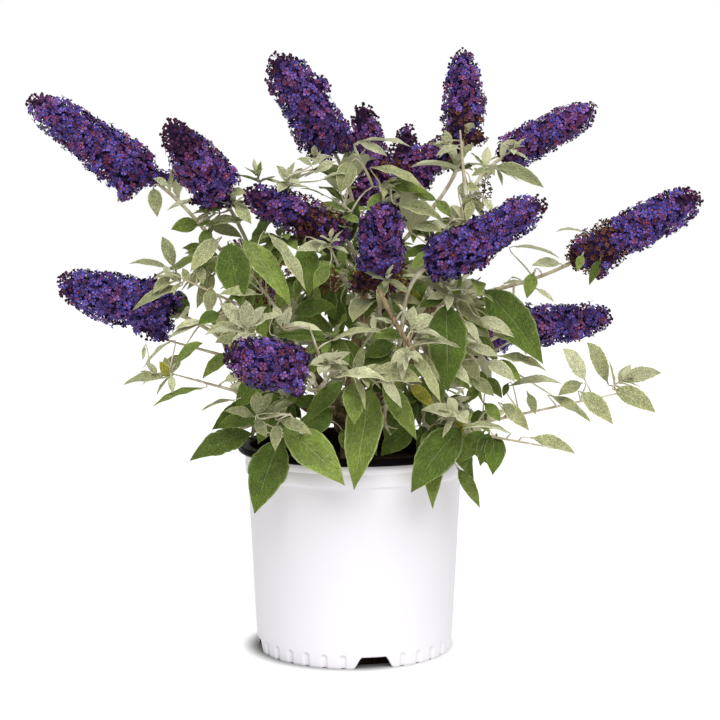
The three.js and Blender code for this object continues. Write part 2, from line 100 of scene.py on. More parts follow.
DROOP = {"fall": 0.75, "short": 0.35}  # a hanging leaf's tip: how far down, and how far short
SPACE_SHARE = 0.6
GAP = 0.3

# Each bough leaves the trunk's head at a bearing and rise, and ends at a bearing, reach and height.
BOUGHS = {
    "left_high": (180, 55, -174, 95, 400),
    "left_low": (204, 15, -156, 98, 322),
    "front_left": (250, 15, -114, 98, 312),
    "front_right": (300, 15, -59, 87, 345),
    "right_high": (0, 55, 0, 90, 400),
    "right_low": (345, 15, -24, 88, 302),
    "top": (270, 62, 34, 18, 425),
    "back_centre": (90, 55, 74, 73, 400),
    "back_left": (125, 15, 127, 100, 335),
    "back_low": (85, -5, 84, 96, 300),
    "back_right": (45, 15, 49, 113, 335),
}

# A flowering shoot: its bough; where its spire starts (bearing, reach, height); the spire's
# heading, pitch, length and girth.
FLOWERING = {
    "spire_left_far": ("left_high", -173, 235, 549, -163, 33, 162, 54),
    "spire_left_near": ("left_high", -149, 176, 536, -114, 33, 129, 52),
    "spire_centre_low": ("top", -110, 64, 488, -155, 23, 118, 44),
    "spire_centre_high": ("top", 145, 31, 582, -142, 52, 134, 58),
    "spire_back_dark": ("back_centre", 76, 123, 542, 157, 76, 100, 40),
    "spire_back_slim": ("back_centre", 72, 178, 535, 61, 74, 85, 33),
    "spire_back_leaning": ("back_centre", 58, 102, 552, -7, 29, 97, 40),
    "spire_right_upright": ("top", 13, 130, 594, 87, 65, 119, 49),
    "spire_right_high": ("right_high", 7, 174, 573, 24, 26, 137, 41),
    "spire_front_centre": ("front_right", -77, 123, 437, -88, 39, 128, 50),
    "spire_front_right": ("front_right", -60, 162, 453, -19, 29, 145, 48),
    "spire_right_far": ("right_high", -9, 250, 453, -8, 28.5, 162, 48),
    "spire_right_low": ("right_low", 6, 198, 373, 16, 6, 114, 46),
    "spire_left_low": ("left_low", -163, 219, 399, -163, 16, 128, 58),
    "spire_front_low": ("front_left", -105, 212, 347, -144, 14, 96, 52),
    "spire_rear_left": ("back_left", 124, 196, 385, 112, 34, 145, 48),
    "spire_rear_low": ("back_low", 81, 192, 385, 86, 12, 146, 46),
    "spire_rear_right": ("back_right", 60, 197, 420, 60, 34, 140, 48),
    "spire_rear_far": ("back_right", 38, 184, 340, 60, 12, 120, 42),
}

# A leafy shoot's row closes with its largest leaf, how far leaves hang and how wide they spread.
LEAFY = {
    "leafy_right_long": ("right_low", -31, 153, 272, -6, 13, 190, 76, 0.25, 58),
    "leafy_right_front": ("right_low", -43, 175, 269, -22, -7, 100, 84, 0.35, 56),
    "leafy_right_back": ("back_right", 28, 172, 342, 0, -32, 110, 84, 0.3, 58),
    "leafy_left_low": ("left_low", -155, 143, 307, -153, 17, 90, 88, 0.2, 55),
    "leafy_left_high": ("left_high", -139, 152, 403, -155, 25, 100, 90, 0.25, 58),
    "leafy_front_silver": ("front_left", -101, 184, 355, -121, 59, 45, 84, 0.2, 55),
    "leafy_front_rosette": ("front_left", -110, 170, 277, -104, 31, 46, 84, 0.4, 50),
    "leafy_front_broad": ("front_right", -44, 155, 412, -40, 40, 45, 116, 0.5, 50),
    "leafy_centre_left": ("front_left", -132, 120, 395, -128, 45, 70, 104, 0.4, 58),
    "leafy_centre_right": ("right_high", -44, 120, 470, -40, 50, 50, 100, 0.4, 58),
    "leafy_centre": ("top", -100, 82, 440, -95, 15, 40, 118, 0.6, 60),
    "leafy_middle_left": ("front_left", -99, 132, 348, -95, 30, 34, 116, 0.5, 62),
    "leafy_middle_right": ("front_right", -76, 132, 326, -70, 0, 34, 120, 0.6, 60),
    "skirt_front": ("front_right", -72, 112, 276, -80, -12, 32, 120, 0.7, 38),
    "skirt_front_right": ("right_low", -46, 122, 270, -50, -12, 32, 116, 0.7, 40),
    "skirt_right": ("right_low", -6, 128, 264, -6, -8, 34, 108, 0.6, 42),
    "skirt_front_left": ("front_left", -120, 118, 268, -112, -12, 30, 120, 0.7, 38),
    "skirt_left": ("left_low", -152, 138, 268, -148, -12, 34, 112, 0.6, 42),
    "leafy_top": ("top", 100, 70, 520, 60, 60, 55, 96, 0.3, 56),
    "leafy_back_high": ("back_centre", 96, 120, 470, 104, 50, 60, 104, 0.4, 54),
    "leafy_left_side": ("left_low", 176, 165, 345, 170, 14, 85, 104, 0.35, 55),
    "skirt_back": ("back_low", 86, 132, 266, 88, -10, 40, 120, 0.6, 40),
    "skirt_back_left": ("back_left", 132, 136, 268, 134, -10, 40, 116, 0.6, 40),
    "skirt_back_right": ("back_right", 42, 140, 268, 40, -8, 44, 114, 0.6, 42),
    "leafy_right_side": ("right_high", 26, 158, 440, 34, 36, 70, 104, 0.4, 54),
}

# How much of a spire is unopened bud at its tip and spent at its foot, and how blue it is. The spires at the
# back get little blue, so that dark violet and plum florets give them painted shade.
SPIRE_AGE_AND_SHADE = {
    "spire_left_far": (0.06, 0.0, 0.6),
    "spire_left_near": (0.3, 0.0, 0.4),
    "spire_centre_low": (0.12, 0.5, 0.35),
    "spire_centre_high": (0.08, 0.0, 0.5),
    # The three spires at the back are mostly violet and plum: painted shade.
    "spire_back_dark": (0.2, 0.3, 0.1),
    "spire_back_slim": (0.6, 0.1, 0.1),
    "spire_back_leaning": (0.15, 0.2, 0.15),
    "spire_right_upright": (0.06, 0.3, 0.45),
    "spire_right_high": (0.05, 0.1, 0.45),
    "spire_front_centre": (0.0, 0.34, 0.4),
    "spire_front_right": (0.05, 0.0, 0.6),
    "spire_right_far": (0.1, 0.45, 0.6),
    "spire_right_low": (0.02, 0.0, 0.6),
    "spire_left_low": (0.1, 0.0, 0.7),
    "spire_front_low": (0.06, 0.1, 0.35),
}
USUAL_AGE = (0.1, 0.15, 0.5)

# Spires that narrow upwards or swell downwards: their girth at the foot and at the tip, as shares.
SPIRE_TAPER = {
    "spire_left_near": (1.25, 0.6),
    "spire_left_far": (1.08, 0.9),
    "spire_right_upright": (1.04, 0.8),
    "spire_centre_high": (0.95, 1.04),
    "spire_right_far": (0.88, 1.25),
    "spire_right_high": (0.92, 1.14),
    "spire_front_centre": (0.84, 1.2),
}

# Sprigs that close in a rosette, by tint: the foot's x, y and z, bearing, pitch, length,
# largest leaf, hang and first turn.
SPRIGS = {
    "silver": (
        (-75, -85, 540, -85, 35, 16, 32, 0.15, 30), (-45, -30, 570, -90, 30, 10, 24, 0.3, 0),
        (180, -10, 580, -60, 30, 10, 26, 0.2, 20), (115, 0, 585, -150, 20, 12, 26, 0.2, 10),
        (-25, -130, 475, -90, 28, 18, 30, 0.2, 25), (105, -120, 420, -88, 30, 22, 34, 0.25, 25),
        (30, -150, 385, -150, 8, 22, 30, 0.25, 10), (-30, -185, 350, -60, 25, 16, 30, 0.2, 30),
        (55, -190, 365, -88, -15, 12, 28, 0.4, 0), (185, -60, 370, -60, 5, 14, 30, 0.3, 20),
        (290, -100, 320, -20, 30, 16, 28, 0.1, 70), (115, -150, 295, -150, 5, 14, 30, 0.2, 20),
    ),
    "grey": (
        (-190, -120, 435, -150, 30, 16, 30, 0.3, 25), (-205, -110, 330, -172, 12, 20, 26, 0.2, 85),
        (30, -60, 540, -25, -5, 12, 28, 0.3, 5), (160, -20, 560, -40, 0, 12, 28, 0.35, 10),
        (130, -30, 530, -80, -20, 14, 28, 0.45, 30), (125, -70, 500, -150, 0, 12, 34, 0.25, 5),
        (35, -160, 440, -88, 5, 12, 34, 0.2, 25), (0, -180, 340, -28, 5, 20, 34, 0.2, 80),
        (-150, -70, 510, -170, 0, 16, 32, 0.3, 40), (-140, -90, 520, -40, 10, 14, 30, 0.2, 0),
    ),
    "green": (
        (-105, -80, 545, -115, 50, 14, 26, 0.1, 0), (15, -50, 515, -60, 10, 12, 24, 0.3, 0),
        (-80, -50, 480, -100, 10, 26, 62, 0.35, 20), (-60, -60, 440, -80, 0, 26, 60, 0.4, 60),
        (-150, -60, 455, -120, 10, 26, 56, 0.35, 30), (-110, -70, 430, -110, 5, 26, 58, 0.35, 70),
        (-20, -70, 370, -110, 5, 28, 62, 0.4, 48), (20, -80, 355, -70, 0, 28, 62, 0.4, 50),
        (80, -80, 335, -60, 0, 28, 60, 0.4, 20), (120, -60, 400, -50, 10, 28, 58, 0.35, 60),
        (30, -50, 460, -90, 20, 28, 56, 0.35, 30), (100, -60, 460, -60, 10, 28, 56, 0.35, 0),
    ),
    "deep": (
        (-70, -60, 300, -110, 5, 28, 64, 0.4, 70), (55, -60, 300, -70, 5, 28, 64, 0.4, 30),
    ),
}

# Sprigs that fill the crown at its back and sides, in the same columns.
BACK_SPRIGS = {
    "deep": (
        (-55, 75, 300, 125, 5, 30, 70, 0.4, 20), (0, 90, 292, 92, 2, 30, 72, 0.4, 50),
        (60, 78, 300, 58, 5, 30, 70, 0.4, 10), (-85, 45, 298, 150, 4, 24, 62, 0.4, 60),
        (92, 42, 298, 28, 4, 24, 62, 0.4, 30), (-88, 5, 304, 170, 6, 14, 50, 0.4, 45),
    ),
    "green": (
        (-40, 85, 350, 112, 18, 30, 64, 0.35, 0), (30, 88, 345, 78, 16, 30, 64, 0.35, 40),
        (78, 60, 365, 42, 16, 26, 58, 0.35, 70), (-75, 55, 365, 138, 18, 26, 58, 0.35, 25),
        (0, 75, 405, 96, 24, 28, 60, 0.35, 60), (50, 62, 430, 60, 28, 26, 56, 0.3, 15),
        (-48, 60, 425, 122, 28, 26, 56, 0.3, 45), (-80, 15, 352, 160, 12, 16, 50, 0.35, 20),
        (-66, 20, 400, 150, 18, 16, 50, 0.35, 65), (88, 10, 345, 15, 12, 16, 50, 0.35, 45),
    ),
    "grey": (
        (-20, 120, 330, 100, 10, 26, 52, 0.35, 20), (45, 115, 380, 70, 20, 24, 48, 0.3, 50),
        (-60, 105, 385, 125, 20, 24, 48, 0.3, 70), (100, 85, 340, 40, 10, 24, 48, 0.35, 10),
        (-100, 80, 335, 140, 10, 24, 48, 0.35, 40),
    ),
}

# The leaves that stand out in front, in groups: the upright plane on which their places are
# given, how far in front of it they stand, their tint, and a row for each leaf with its root
# across and up, its tip across and up, and its width.
FRONT_LEAVES = (
    (-130, 10, "deep", ((-110, 270, -181, 239, 35), (-80, 265, -110, 180, 48), (-110, 283, -150, 277, 16))),
    (-130, -20, "deep", ((-98, 332, -130, 296, 31),)),
    (-130, 0, "green", (
        (-136, 358, -166, 330, 18), (-165, 320, -221, 299, 11), (-195, 347, -165, 369, 13),
    )),
    (-130, 0, "grey", ((-206, 331, -253, 323, 13), (-130, 307, -168, 294, 6))),
    (-130, 60, "grey", (
        (-108, 288, -142, 294, 10), (-108, 284, -96, 265, 17), (-98, 288, -66, 303, 13),
        (-82, 284, -46, 268, 14), (-84, 280, -87, 250, 15), (-107, 290, -106, 316, 14),
        (-106, 290, -88, 314, 12), (-86, 286, -74, 306, 12),
    )),
    (-130, 0, "silver", (
        (-124, 334, -142, 327, 11), (-200, 372, -232, 340, 6), (-229, 366, -231, 350, 5),
        (-200, 333, -199, 314, 10),
    )),
    (-130, -10, "yellow", ((-203, 331, -213, 349, 10),)),
    (-150, 5, "green", ((-80, 280, -10, 215, 42), (20, 325, 0, 210, 46), (30, 330, 68, 265, 28))),
    (-150, 25, "green", ((0, 330, 0, 282, 27), (58, 378, 18, 376, 14))),
    (-150, -10, "deep", ((-10, 330, -55, 282, 20), (42, 362, 5, 345, 22), (-22, 300, -60, 262, 30))),
    (-150, 0, "deep", ((118, 280, 62, 207, 40),)),
    (-150, 40, "grey", ((15, 340, 74, 328, 20), (62, 360, 94, 306, 10), (-24, 374, 30, 382, 12))),
    (-150, 45, "silver", (
        (-20, 334, 34, 331, 12), (30, 333, 52, 300, 12), (-12, 358, -50, 345, 9), (62, 368, 108, 368, 9),
        (64, 384, 96, 376, 6), (60, 364, 40, 349, 10),
    )),
    (-150, 10, "silver", ((116, 290, 73, 298, 14),)),
    (-150, -20, "yellow", ((60, 326, 88, 299, 14),)),
    (-100, 0, "deep", ((66, 272, 30, 240, 30), (-40, 290, -62, 240, 28), (90, 275, 84, 238, 28))),
    (-100, -10, "green", ((12, 272, 25, 240, 15), (-14, 270, -2, 238, 26))),
    (-110, 25, "deep", ((145, 270, 115, 232, 26), (150, 268, 140, 230, 22), (158, 266, 154, 220, 23))),
    (-110, -10, "deep", ((170, 322, 165, 308, 20),)),
    (-110, 0, "green", ((115, 228, 140, 183, 15), (152, 346, 185, 325, 19), (145, 300, 162, 280, 18))),
    (-110, 10, "grey", (
        (196, 262, 246, 244, 17), (163, 300, 194, 270, 20), (193, 311, 201, 288, 21),
        (217, 309, 263, 279, 14), (251, 313, 287, 277, 22), (287, 316, 334, 290, 22),
        (130, 328, 155, 308, 16), (160, 353, 213, 336, 15), (252, 323, 226, 309, 16),
    )),
    (-110, 45, "grey", ((172, 268, 120, 272, 11),)),
    (-110, 30, "silver", ((138, 396, 176, 376, 14), (127, 364, 159, 352, 11), (120, 376, 142, 367, 9))),
    (-110, 28, "silver", ((122, 392, 138, 368, 12), (146, 347, 178, 324, 16), (105, 344, 128, 321, 13))),
    (-110, 0, "silver", ((172, 320, 230, 322, 14), (293, 324, 340, 334, 17), (256, 325, 230, 361, 21))),
    (-110, -10, "grey", ((281, 322, 257, 368, 21),)),
    (-100, 20, "deep", ((142, 428, 210, 343, 42), (100, 416, 72, 406, 14))),
    (-100, 45, "deep", ((102, 413, 104, 312, 46), (44, 366, 12, 350, 20))),
    (-100, 10, "green", ((118, 345, 121, 317, 10),)),
    (-100, 15, "grey", (
        (106, 417, 144, 383, 17), (36, 419, 76, 408, 13), (54, 436, 98, 427, 10), (122, 364, 142, 352, 14),
        (125, 380, 152, 372, 8), (175, 372, 153, 376, 12), (117, 356, 140, 322, 16),
        (103, 422, 108, 446, 18),
    )),
    (-100, 80, "grey", ((64, 370, 118, 361, 9), (66, 358, 96, 322, 10))),
    (-100, 20, "silver", (
        (106, 420, 80, 415, 11), (48, 441, 92, 433, 8), (44, 441, 0, 442, 7), (135, 391, 180, 372, 16),
        (188, 372, 200, 360, 9),
    )),
    (-100, 85, "silver", (
        (64, 382, 88, 396, 15), (64, 384, 48, 410, 8), (63, 384, 66, 408, 8), (66, 380, 98, 372, 9),
        (50, 384, 22, 394, 8), (60, 360, 40, 343, 11),
    )),
    (-100, 0, "yellow", ((124, 406, 112, 352, 12), (48, 437, 66, 425, 12), (62, 424, 74, 411, 12))),
    (-90, 55, "deep", ((-140, 478, -126, 406, 52), (-88, 374, -30, 368, 18), (-150, 398, -174, 386, 16))),
    (-90, 30, "deep", ((-55, 480, -50, 418, 28), (-68, 398, -20, 405, 20))),
    (-90, -10, "deep", ((-40, 432, -22, 392, 24),)),
    (-90, 0, "deep", ((-128, 305, -96, 262, 34), (-84, 300, -108, 252, 30))),
    (-60, 0, "deep", (
        (-98, 292, -162, 264, 32), (-62, 404, -38, 376, 24), (-24, 414, -14, 370, 26),
        (-14, 408, 2, 372, 20), (-106, 392, -92, 366, 18), (-78, 296, -60, 276, 18),
    )),
    (-60, 0, "green", ((136, 332, 150, 304, 18), (150, 324, 168, 300, 16), (142, 314, 126, 294, 16))),
    (-60, 0, "grey", ((-162, 494, -126, 482, 16), (-158, 442, -178, 402, 18), (-198, 350, -214, 324, 16))),
    (-40, 0, "deep", (
        (-32, 442, -14, 386, 30), (-8, 430, -34, 392, 24), (-44, 420, -58, 384, 22),
        (-90, 404, -112, 372, 22),
    )),
    (-70, 20, "grey", ((-148, 460, -188, 424, 18), (-158, 440, -192, 434, 14), (-124, 502, -168, 494, 12))),
    (-100, 30, "deep", ((128, 264, 150, 230, 20), (112, 262, 124, 222, 22))),
    (-90, 55, "green", ((-126, 482, -70, 406, 25), (-28, 452, -45, 426, 20))),
    (-90, 0, "green", (
        (-143, 520, -173, 512, 15), (-172, 497, -203, 492, 17), (-128, 500, -180, 493, 8),
        (-160, 492, -170, 468, 14), (-72, 536, -86, 542, 12),
    )),
    (-90, -45, "grey", ((-243, 544, -262, 522, 14), (-222, 538, -218, 506, 26))),
    (-90, 35, "grey", (
        (-200, 449, -213, 484, 16), (-207, 450, -250, 454, 11), (-192, 430, -247, 402, 12),
        (-204, 440, -224, 421, 11), (-150, 482, -182, 445, 18), (-172, 452, -168, 431, 15),
        (-190, 448, -183, 432, 12), (-158, 427, -163, 398, 26),
    )),
    (-90, 65, "grey", (
        (-106, 420, -150, 420, 12), (-95, 488, -54, 424, 8), (-128, 388, -165, 378, 9),
        (-130, 372, -155, 366, 14),
    )),
    (-90, 15, "grey", ((-136, 533, -120, 532, 13), (-132, 520, -114, 498, 14))),
    (-90, -35, "silver", ((-206, 541, -222, 548, 8), (-146, 524, -208, 513, 9), (-33, 530, -60, 537, 6))),
    (-90, -10, "silver", (
        (-71, 541, -86, 562, 9), (-70, 541, -57, 560, 10), (-68, 545, -38, 556, 7), (-33, 548, -8, 553, 6),
        (-47, 563, -30, 572, 8), (-47, 563, -62, 570, 8),
    )),
    (-90, 95, "silver", (
        (-119, 380, -150, 410, 18), (-119, 380, -121, 414, 12), (-118, 381, -80, 397, 12),
        (-122, 378, -168, 374, 9), (-81, 384, -90, 408, 10), (-80, 383, -36, 379, 11),
        (-118, 382, -98, 406, 12), (-78, 385, -70, 406, 10), (-116, 376, -138, 364, 10),
    )),
    (-90, 40, "silver", ((-26, 474, -64, 468, 12), (-172, 387, -208, 370, 8), (-170, 390, -200, 381, 10))),
    (-70, 0, "deep", ((90, 470, 53, 459, 18), (276, 458, 264, 429, 12))),
    (-70, 0, "green", (
        (30, 533, 15, 502, 25), (34, 541, 84, 532, 17), (92, 523, 108, 505, 14), (92, 524, 65, 530, 11),
        (68, 492, 66, 476, 8), (201, 443, 194, 414, 27), (256, 463, 250, 445, 20), (-8, 512, -38, 520, 9),
        (-10, 506, 8, 498, 9),
    )),
    (-70, 10, "grey", (
        (-2, 568, -16, 532, 25), (20, 561, 80, 535, 15), (150, 559, 131, 551, 9), (122, 540, 140, 535, 15),
        (132, 524, 126, 500, 15), (62, 494, 100, 488, 12), (155, 562, 212, 538, 17),
        (46, 520, 100, 501, 16),
    )),
    (-70, 0, "silver", (
        (-22, 567, -44, 554, 10), (6, 588, 37, 573, 11), (5, 590, 64, 583, 8), (122, 557, 63, 561, 11),
        (115, 585, 91, 573, 8), (128, 566, 185, 545, 6), (145, 526, 155, 509, 11), (128, 497, 80, 492, 15),
        (179, 473, 231, 459, 7), (232, 453, 199, 451, 13), (205, 425, 225, 410, 8), (255, 490, 226, 489, 5),
    )),
    (-70, -10, "yellow", ((108, 486, 84, 478, 14),)),
)

# Bare stems that stand out in front: plane, forward, foot across and up, top across and up, thickness.
FRONT_STEMS = ((-70, 10, 125, 530, 118, 602, 2.2),)
WOODY_STEM = (-100, 90, 66, 358, 26, 428, 2.8)
LEAN = 0.35  # how far a front leaf leans out, as a share of its length
EYE = (6.5, -2038, 537)

# Places where the rule's own leaves stand aside: across, height and the oval's reaches.
CLEARINGS = (
    (-186, 330, 34, 48), (-205, 322, 62, 34), (-169, 278, 34, 34), (186, 250, 40, 36), (260, 320, 100, 54),
    (186, 486, 44, 26), (156, 450, 22, 14), (-268, 543, 18, 14), (-215, 520, 40, 26), (-227, 365, 40, 22),
    (250, 400, 60, 28), (-215, 470, 34, 22), (196, 552, 24, 22), (262, 450, 34, 22), (-182, 232, 26, 26),
    (70, 482, 10, 14), (105, 541, 18, 15), (140, 378, 12, 12), (188, 455, 22, 14), (-115, 212, 34, 40),
    (42, 553, 56, 20),
)

FRONT_HANG = 0.3
FITTING_ROUNDS = 8
EDGE_ON, FULL_FACE = 0.12, 0.32  # width over length of a leaf that is seen so
TO_VIEWER = (0, -0.94, 0.34)
SLENDER = (0.3, 0.56)  # least and most width over length of a front leaf's blade
BEHIND = 12  # how far behind a front leaf others still give way to it
LARGE = 50  # leaves longer than this keep to their own shoot's space
CROWDING = 0.36  # share of a front leaf's length round its middle that stays in sight
# Leaves this near the axis and this low, or lower than the skirt, are tinted as if longer.
INSIDE = {"reach": 125, "height": 500, "skirt": 290, "older": 30}
# Where no leaf of the rule may be: the pot's wall and rim, the mix, and near a spire's axis.
LEAF_ROOM = {"inside": 116, "outside": 141, "rim": 244, "soil_reach": 124, "soil": 219}
SPIRE_ROOM = {"own": 0.5, "other": 0.95, "own_foot": 14, "other_foot": -4}

TINTS = ("deep", "green", "grey", "silver", "yellow")
FLORET_KINDS = ("bud", "spent", "blue", "violet", "plum")

# ---------------------------------------------------------------- settings


def linear(code):
    """Scene-linear red, green and blue of a colour written as #rrggbb."""
    parts = [int(code[i:i + 2], 16) / 255 for i in (1, 3, 5)]
    return tuple(c / 12.92 if c <= 0.04045 else ((c + 0.055) / 1.055) ** 2.4 for c in parts)


def colour(name, code, description):
    return FloatVectorProperty(
        name=name, description=description, subtype="COLOR", size=3, min=0, max=1, default=linear(code)
    )


def length(name, millimetres, description):
    return number(name, millimetres * MM, description, min=0, unit="LENGTH", precision=4)


def number(name, value, description, **more):
    return FloatProperty(name=name, description=description, default=value, **more)


def angle(name, degrees, description):
    return number(name, math.radians(degrees), description, subtype="ANGLE")


class PotSettings(bpy.types.PropertyGroup):
    white: colour("Wall", "#e8e5ea", "Colour of the pot's outer wall")
    black: colour("Rim and Lining", "#0b080b", "Colour of the rim and of the pot's inside")
    soil: colour("Potting Mix", "#2e231b", "Colour of the damp potting mix")
    chip: colour("Bark Chips", "#6b4a31", "Colour of the bark in the mix")
    facets: IntProperty(name="Facets", description="Columns of faces round the pot", default=720, min=90)
    line_depth: length("Line Depth", 0.5, "Depth of the fine line round the wall")


class WoodSettings(bpy.types.PropertyGroup):
    bark: colour("Bark", "#8d7859", "Colour of the old wood")
    crack: colour("Cracks", "#4a3a28", "Colour deep in the bark")
    stem: colour("Stems", "#b3a587", "Colour of this year's stems")
    felt: colour("Felt", "#d6d3b8", "Colour of the down on young stems")
    voxel: length("Voxel", 1.4, "Fineness of the mesh of the old wood")
    relief: length("Relief", 0.9, "Depth of the furrows in the bark")


class LeafSettings(bpy.types.PropertyGroup):
    deep: colour("Deep", "#5b7614", "Old leaves")
    green: colour("Green", "#829c30", "Grown leaves")
    grey: colour("Grey", "#a9b172", "Felted leaves")
    silver: colour("Silver", "#d9dda8", "Young leaves")
    yellow: colour("Yellow", "#bebb30", "Fading leaves")
    underside: colour("Underside", "#eae9bc", "Felted lower faces")
    fold: angle("Fold", 24, "Rise of each half of a leaf from its midrib")
    thick: length("Thickness", 0.5, "Thickness of a leaf at its midrib")


class BlossomSettings(bpy.types.PropertyGroup):
    blue: colour("Blue Lobes", "#514298", "Freshly opened florets")
    violet: colour("Violet Lobes", "#704890", "Florets a day or two open")
    # Plum and violet florets make up most of the spires at the back, where they also give painted shade.
    plum: colour("Plum Lobes", "#71366b", "Florets that are going over")
    eye: colour("Eye", "#d2603a", "Ring round the throat of a floret")
    spent: colour("Spent", "#6b4029", "Withered florets")
    bud: colour("Buds", "#4a2341", "Unopened buds")
    # Colour of the crowded tubes inside a spire, kept dark so that it also gives the shade between the
    # florets: partly painted shade.
    core: colour("Core", "#2a1038", "Crowded tubes behind the florets")
    span: length("Floret", 10.0, "Width of an open floret")
    gap: length("Spacing", 5.2, "Least distance between florets")
    seed: IntProperty(name="Seed", description="Seed of the florets' places", default=11, min=0)


class StageSettings(bpy.types.PropertyGroup):
    floor: colour("Floor", "#8c8c8c", "Colour of the floor")
    glow: number("Floor Glow", 0.86, "Light that the floor gives of itself", min=0)
    sky: number("Surroundings", 0.37, "Light from all round", min=0)
    key: number("Softbox", 2.85, "Strength of the overhead softbox", min=0)
    softness: angle("Softness", 48, "How wide the softbox looks from the plant")
    side: number("Softbox Bearing", -80, "Where the softbox hangs")
    rise: number("Softbox Rise", 50, "How high the softbox hangs")
    lens: number("Lens", 87.65, "Focal length", min=1, unit="CAMERA")
    tilt: angle("Camera Tilt", 5.58, "How far the camera looks down")
    stand: FloatVectorProperty(
        name="Camera Place", description="Where the camera stands", size=3,
        default=[c * MM for c in EYE], unit="LENGTH", subtype="TRANSLATION",
    )


# ---------------------------------------------------------------- nodes


class Wire:
    """An output socket that Python's operators work on, by adding Math nodes."""

    def __init__(self, tree, socket):
        self.tree = tree
        self.socket = socket

    def math(self, operation, *others):
        return self.tree.math(operation, self, *others)

    def __add__(self, other):
        return self.math("ADD", other)

    def __sub__(self, other):
        return self.math("SUBTRACT", other)

    def __mul__(self, other):
        return self.math("MULTIPLY", other)

    def __rsub__(self, other):
        return self.tree.math("SUBTRACT", other, self)

    __radd__ = __add__
    __rmul__ = __mul__


RANDOM_SOCKETS = {
    "FLOAT": ("Min_001", "Max_001", "Value_001"),
    "FLOAT_VECTOR": ("Min", "Max", "Value"),
}


class Tree:
    """A node tree that is filled by calls."""

    def __init__(self, tree):
        self.tree = tree

    def node(self, kind, settings=None, inputs=None):
        made = self.tree.nodes.new(kind)
        for key, value in (settings or {}).items():
            setattr(made, key, value)
        for key, value in (inputs or {}).items():
            self.feed(self.socket(made.inputs, key), value)
        return made

    def wire(self, kind, settings=None, inputs=None, output=0):
        made = self.node(kind, settings, inputs)
        return Wire(self, self.socket(made.outputs, output))

    def math(self, operation, *values):
        return self.wire("ShaderNodeMath", {"operation": operation}, dict(enumerate(values)))

    def feed(self, socket, value):
        if isinstance(value, Wire):
            self.tree.links.new(value.socket, socket)
        elif socket.type == "RGBA" and len(value) == 3:
            socket.default_value = (*value, 1)
        else:
            socket.default_value = value

    @staticmethod
    def socket(sockets, key):
        if isinstance(key, int):
            return sockets[key]
        exact = [socket for socket in sockets if socket.identifier == key]
        return exact[0] if exact else sockets[key]

    def vector(self, operation, *values, output="Vector"):
        return self.wire(
            "ShaderNodeVectorMath", {"operation": operation}, dict(enumerate(values)), output
        )

    def mix(self, factor, first, second):
        return self.wire(
            "ShaderNodeMix", {"data_type": "RGBA"},
            {"Factor_Float": factor, "A_Color": first, "B_Color": second}, "Result_Color",
        )

    def coats(self, base, *coats):
        """A ground colour under coats, each a mask and the colour that it lays on."""
        for mask, colour_value in coats:
            base = self.mix(mask, base, colour_value)
        return base

    def smooth(self, value, low, high):
        """0 below low and 1 above high, with a soft passage between."""
        return self.wire(
            "ShaderNodeMapRange", {"interpolation_type": "SMOOTHSTEP"},
            {"Value": value, "From Min": low, "From Max": high},
        )

    def noise(self, where, scale, detail=3.0, rough=0.55):
        return self.wire(
            "ShaderNodeTexNoise", {},
            {"Vector": where, "Scale": scale, "Detail": detail, "Roughness": rough}, "Fac",
        )

    def stretched(self, where, scale):
        return self.wire("ShaderNodeMapping", {}, {"Vector": where, "Scale": scale})

    def attribute(self, name):
        return self.wire("ShaderNodeAttribute", {"attribute_name": name}, {}, "Fac")

    def bump(self, height, distance, strength=1.0):
        return self.wire(
            "ShaderNodeBump", {}, {"Height": height, "Distance": distance, "Strength": strength}
        )

    def named(self, name):
        """A number that is stored on the geometry."""
        return self.wire("GeometryNodeInputNamedAttribute", {"data_type": "FLOAT"}, {"Name": name})

    def random(self, kind, low, high, seed):
        least, most, value = RANDOM_SOCKETS[kind]
        return self.wire(
            "FunctionNodeRandomValue", {"data_type": kind}, {least: low, most: high, "Seed": seed}, value
        )

    def combined(self, x, y, z):
        return self.wire("ShaderNodeCombineXYZ", {}, {"X": x, "Y": y, "Z": z})

    def covered(self, geometry, material, **more):
        return self.wire("GeometryNodeSetMaterial", {}, {"Geometry": geometry, "Material": material, **more})


SURFACE_INPUTS = {
    "specular": "Specular IOR Level",
    "sheen": "Sheen Weight", "sheen_roughness": "Sheen Roughness", "glow": "Emission Strength",
}


def finish(name, paint, **uniform):
    """A material whose Principled BSDF has plain values, and the inputs that paint(tree, where) returns."""
    material = bpy.data.materials.new(name)
    material.use_nodes = True
    material.node_tree.nodes.clear()
    tree = Tree(material.node_tree)
    where = tree.wire("ShaderNodeTexCoord", {}, {}, "Object")
    inputs = {SURFACE_INPUTS[key]: value for key, value in uniform.items()}
    inputs.update(paint(tree, where))
    shader = tree.wire("ShaderNodeBsdfPrincipled", {}, inputs)
    tree.node("ShaderNodeOutputMaterial", {}, {"Surface": shader})
    return material


def surface(base, roughness, normal):
    return {"Base Color": base, "Roughness": roughness, "Normal": normal}


def shade(colour_value, factor):
    return tuple(min(1.0, c * factor) for c in colour_value)


def paler(colour_value):
    return tuple(min(1.0, c * 1.45 + 0.045) for c in colour_value)


# ---------------------------------------------------------------- finishes


DUSTY_WITHIN = (0.127, 0.131)  # from the axis, in metres: dust ends between these


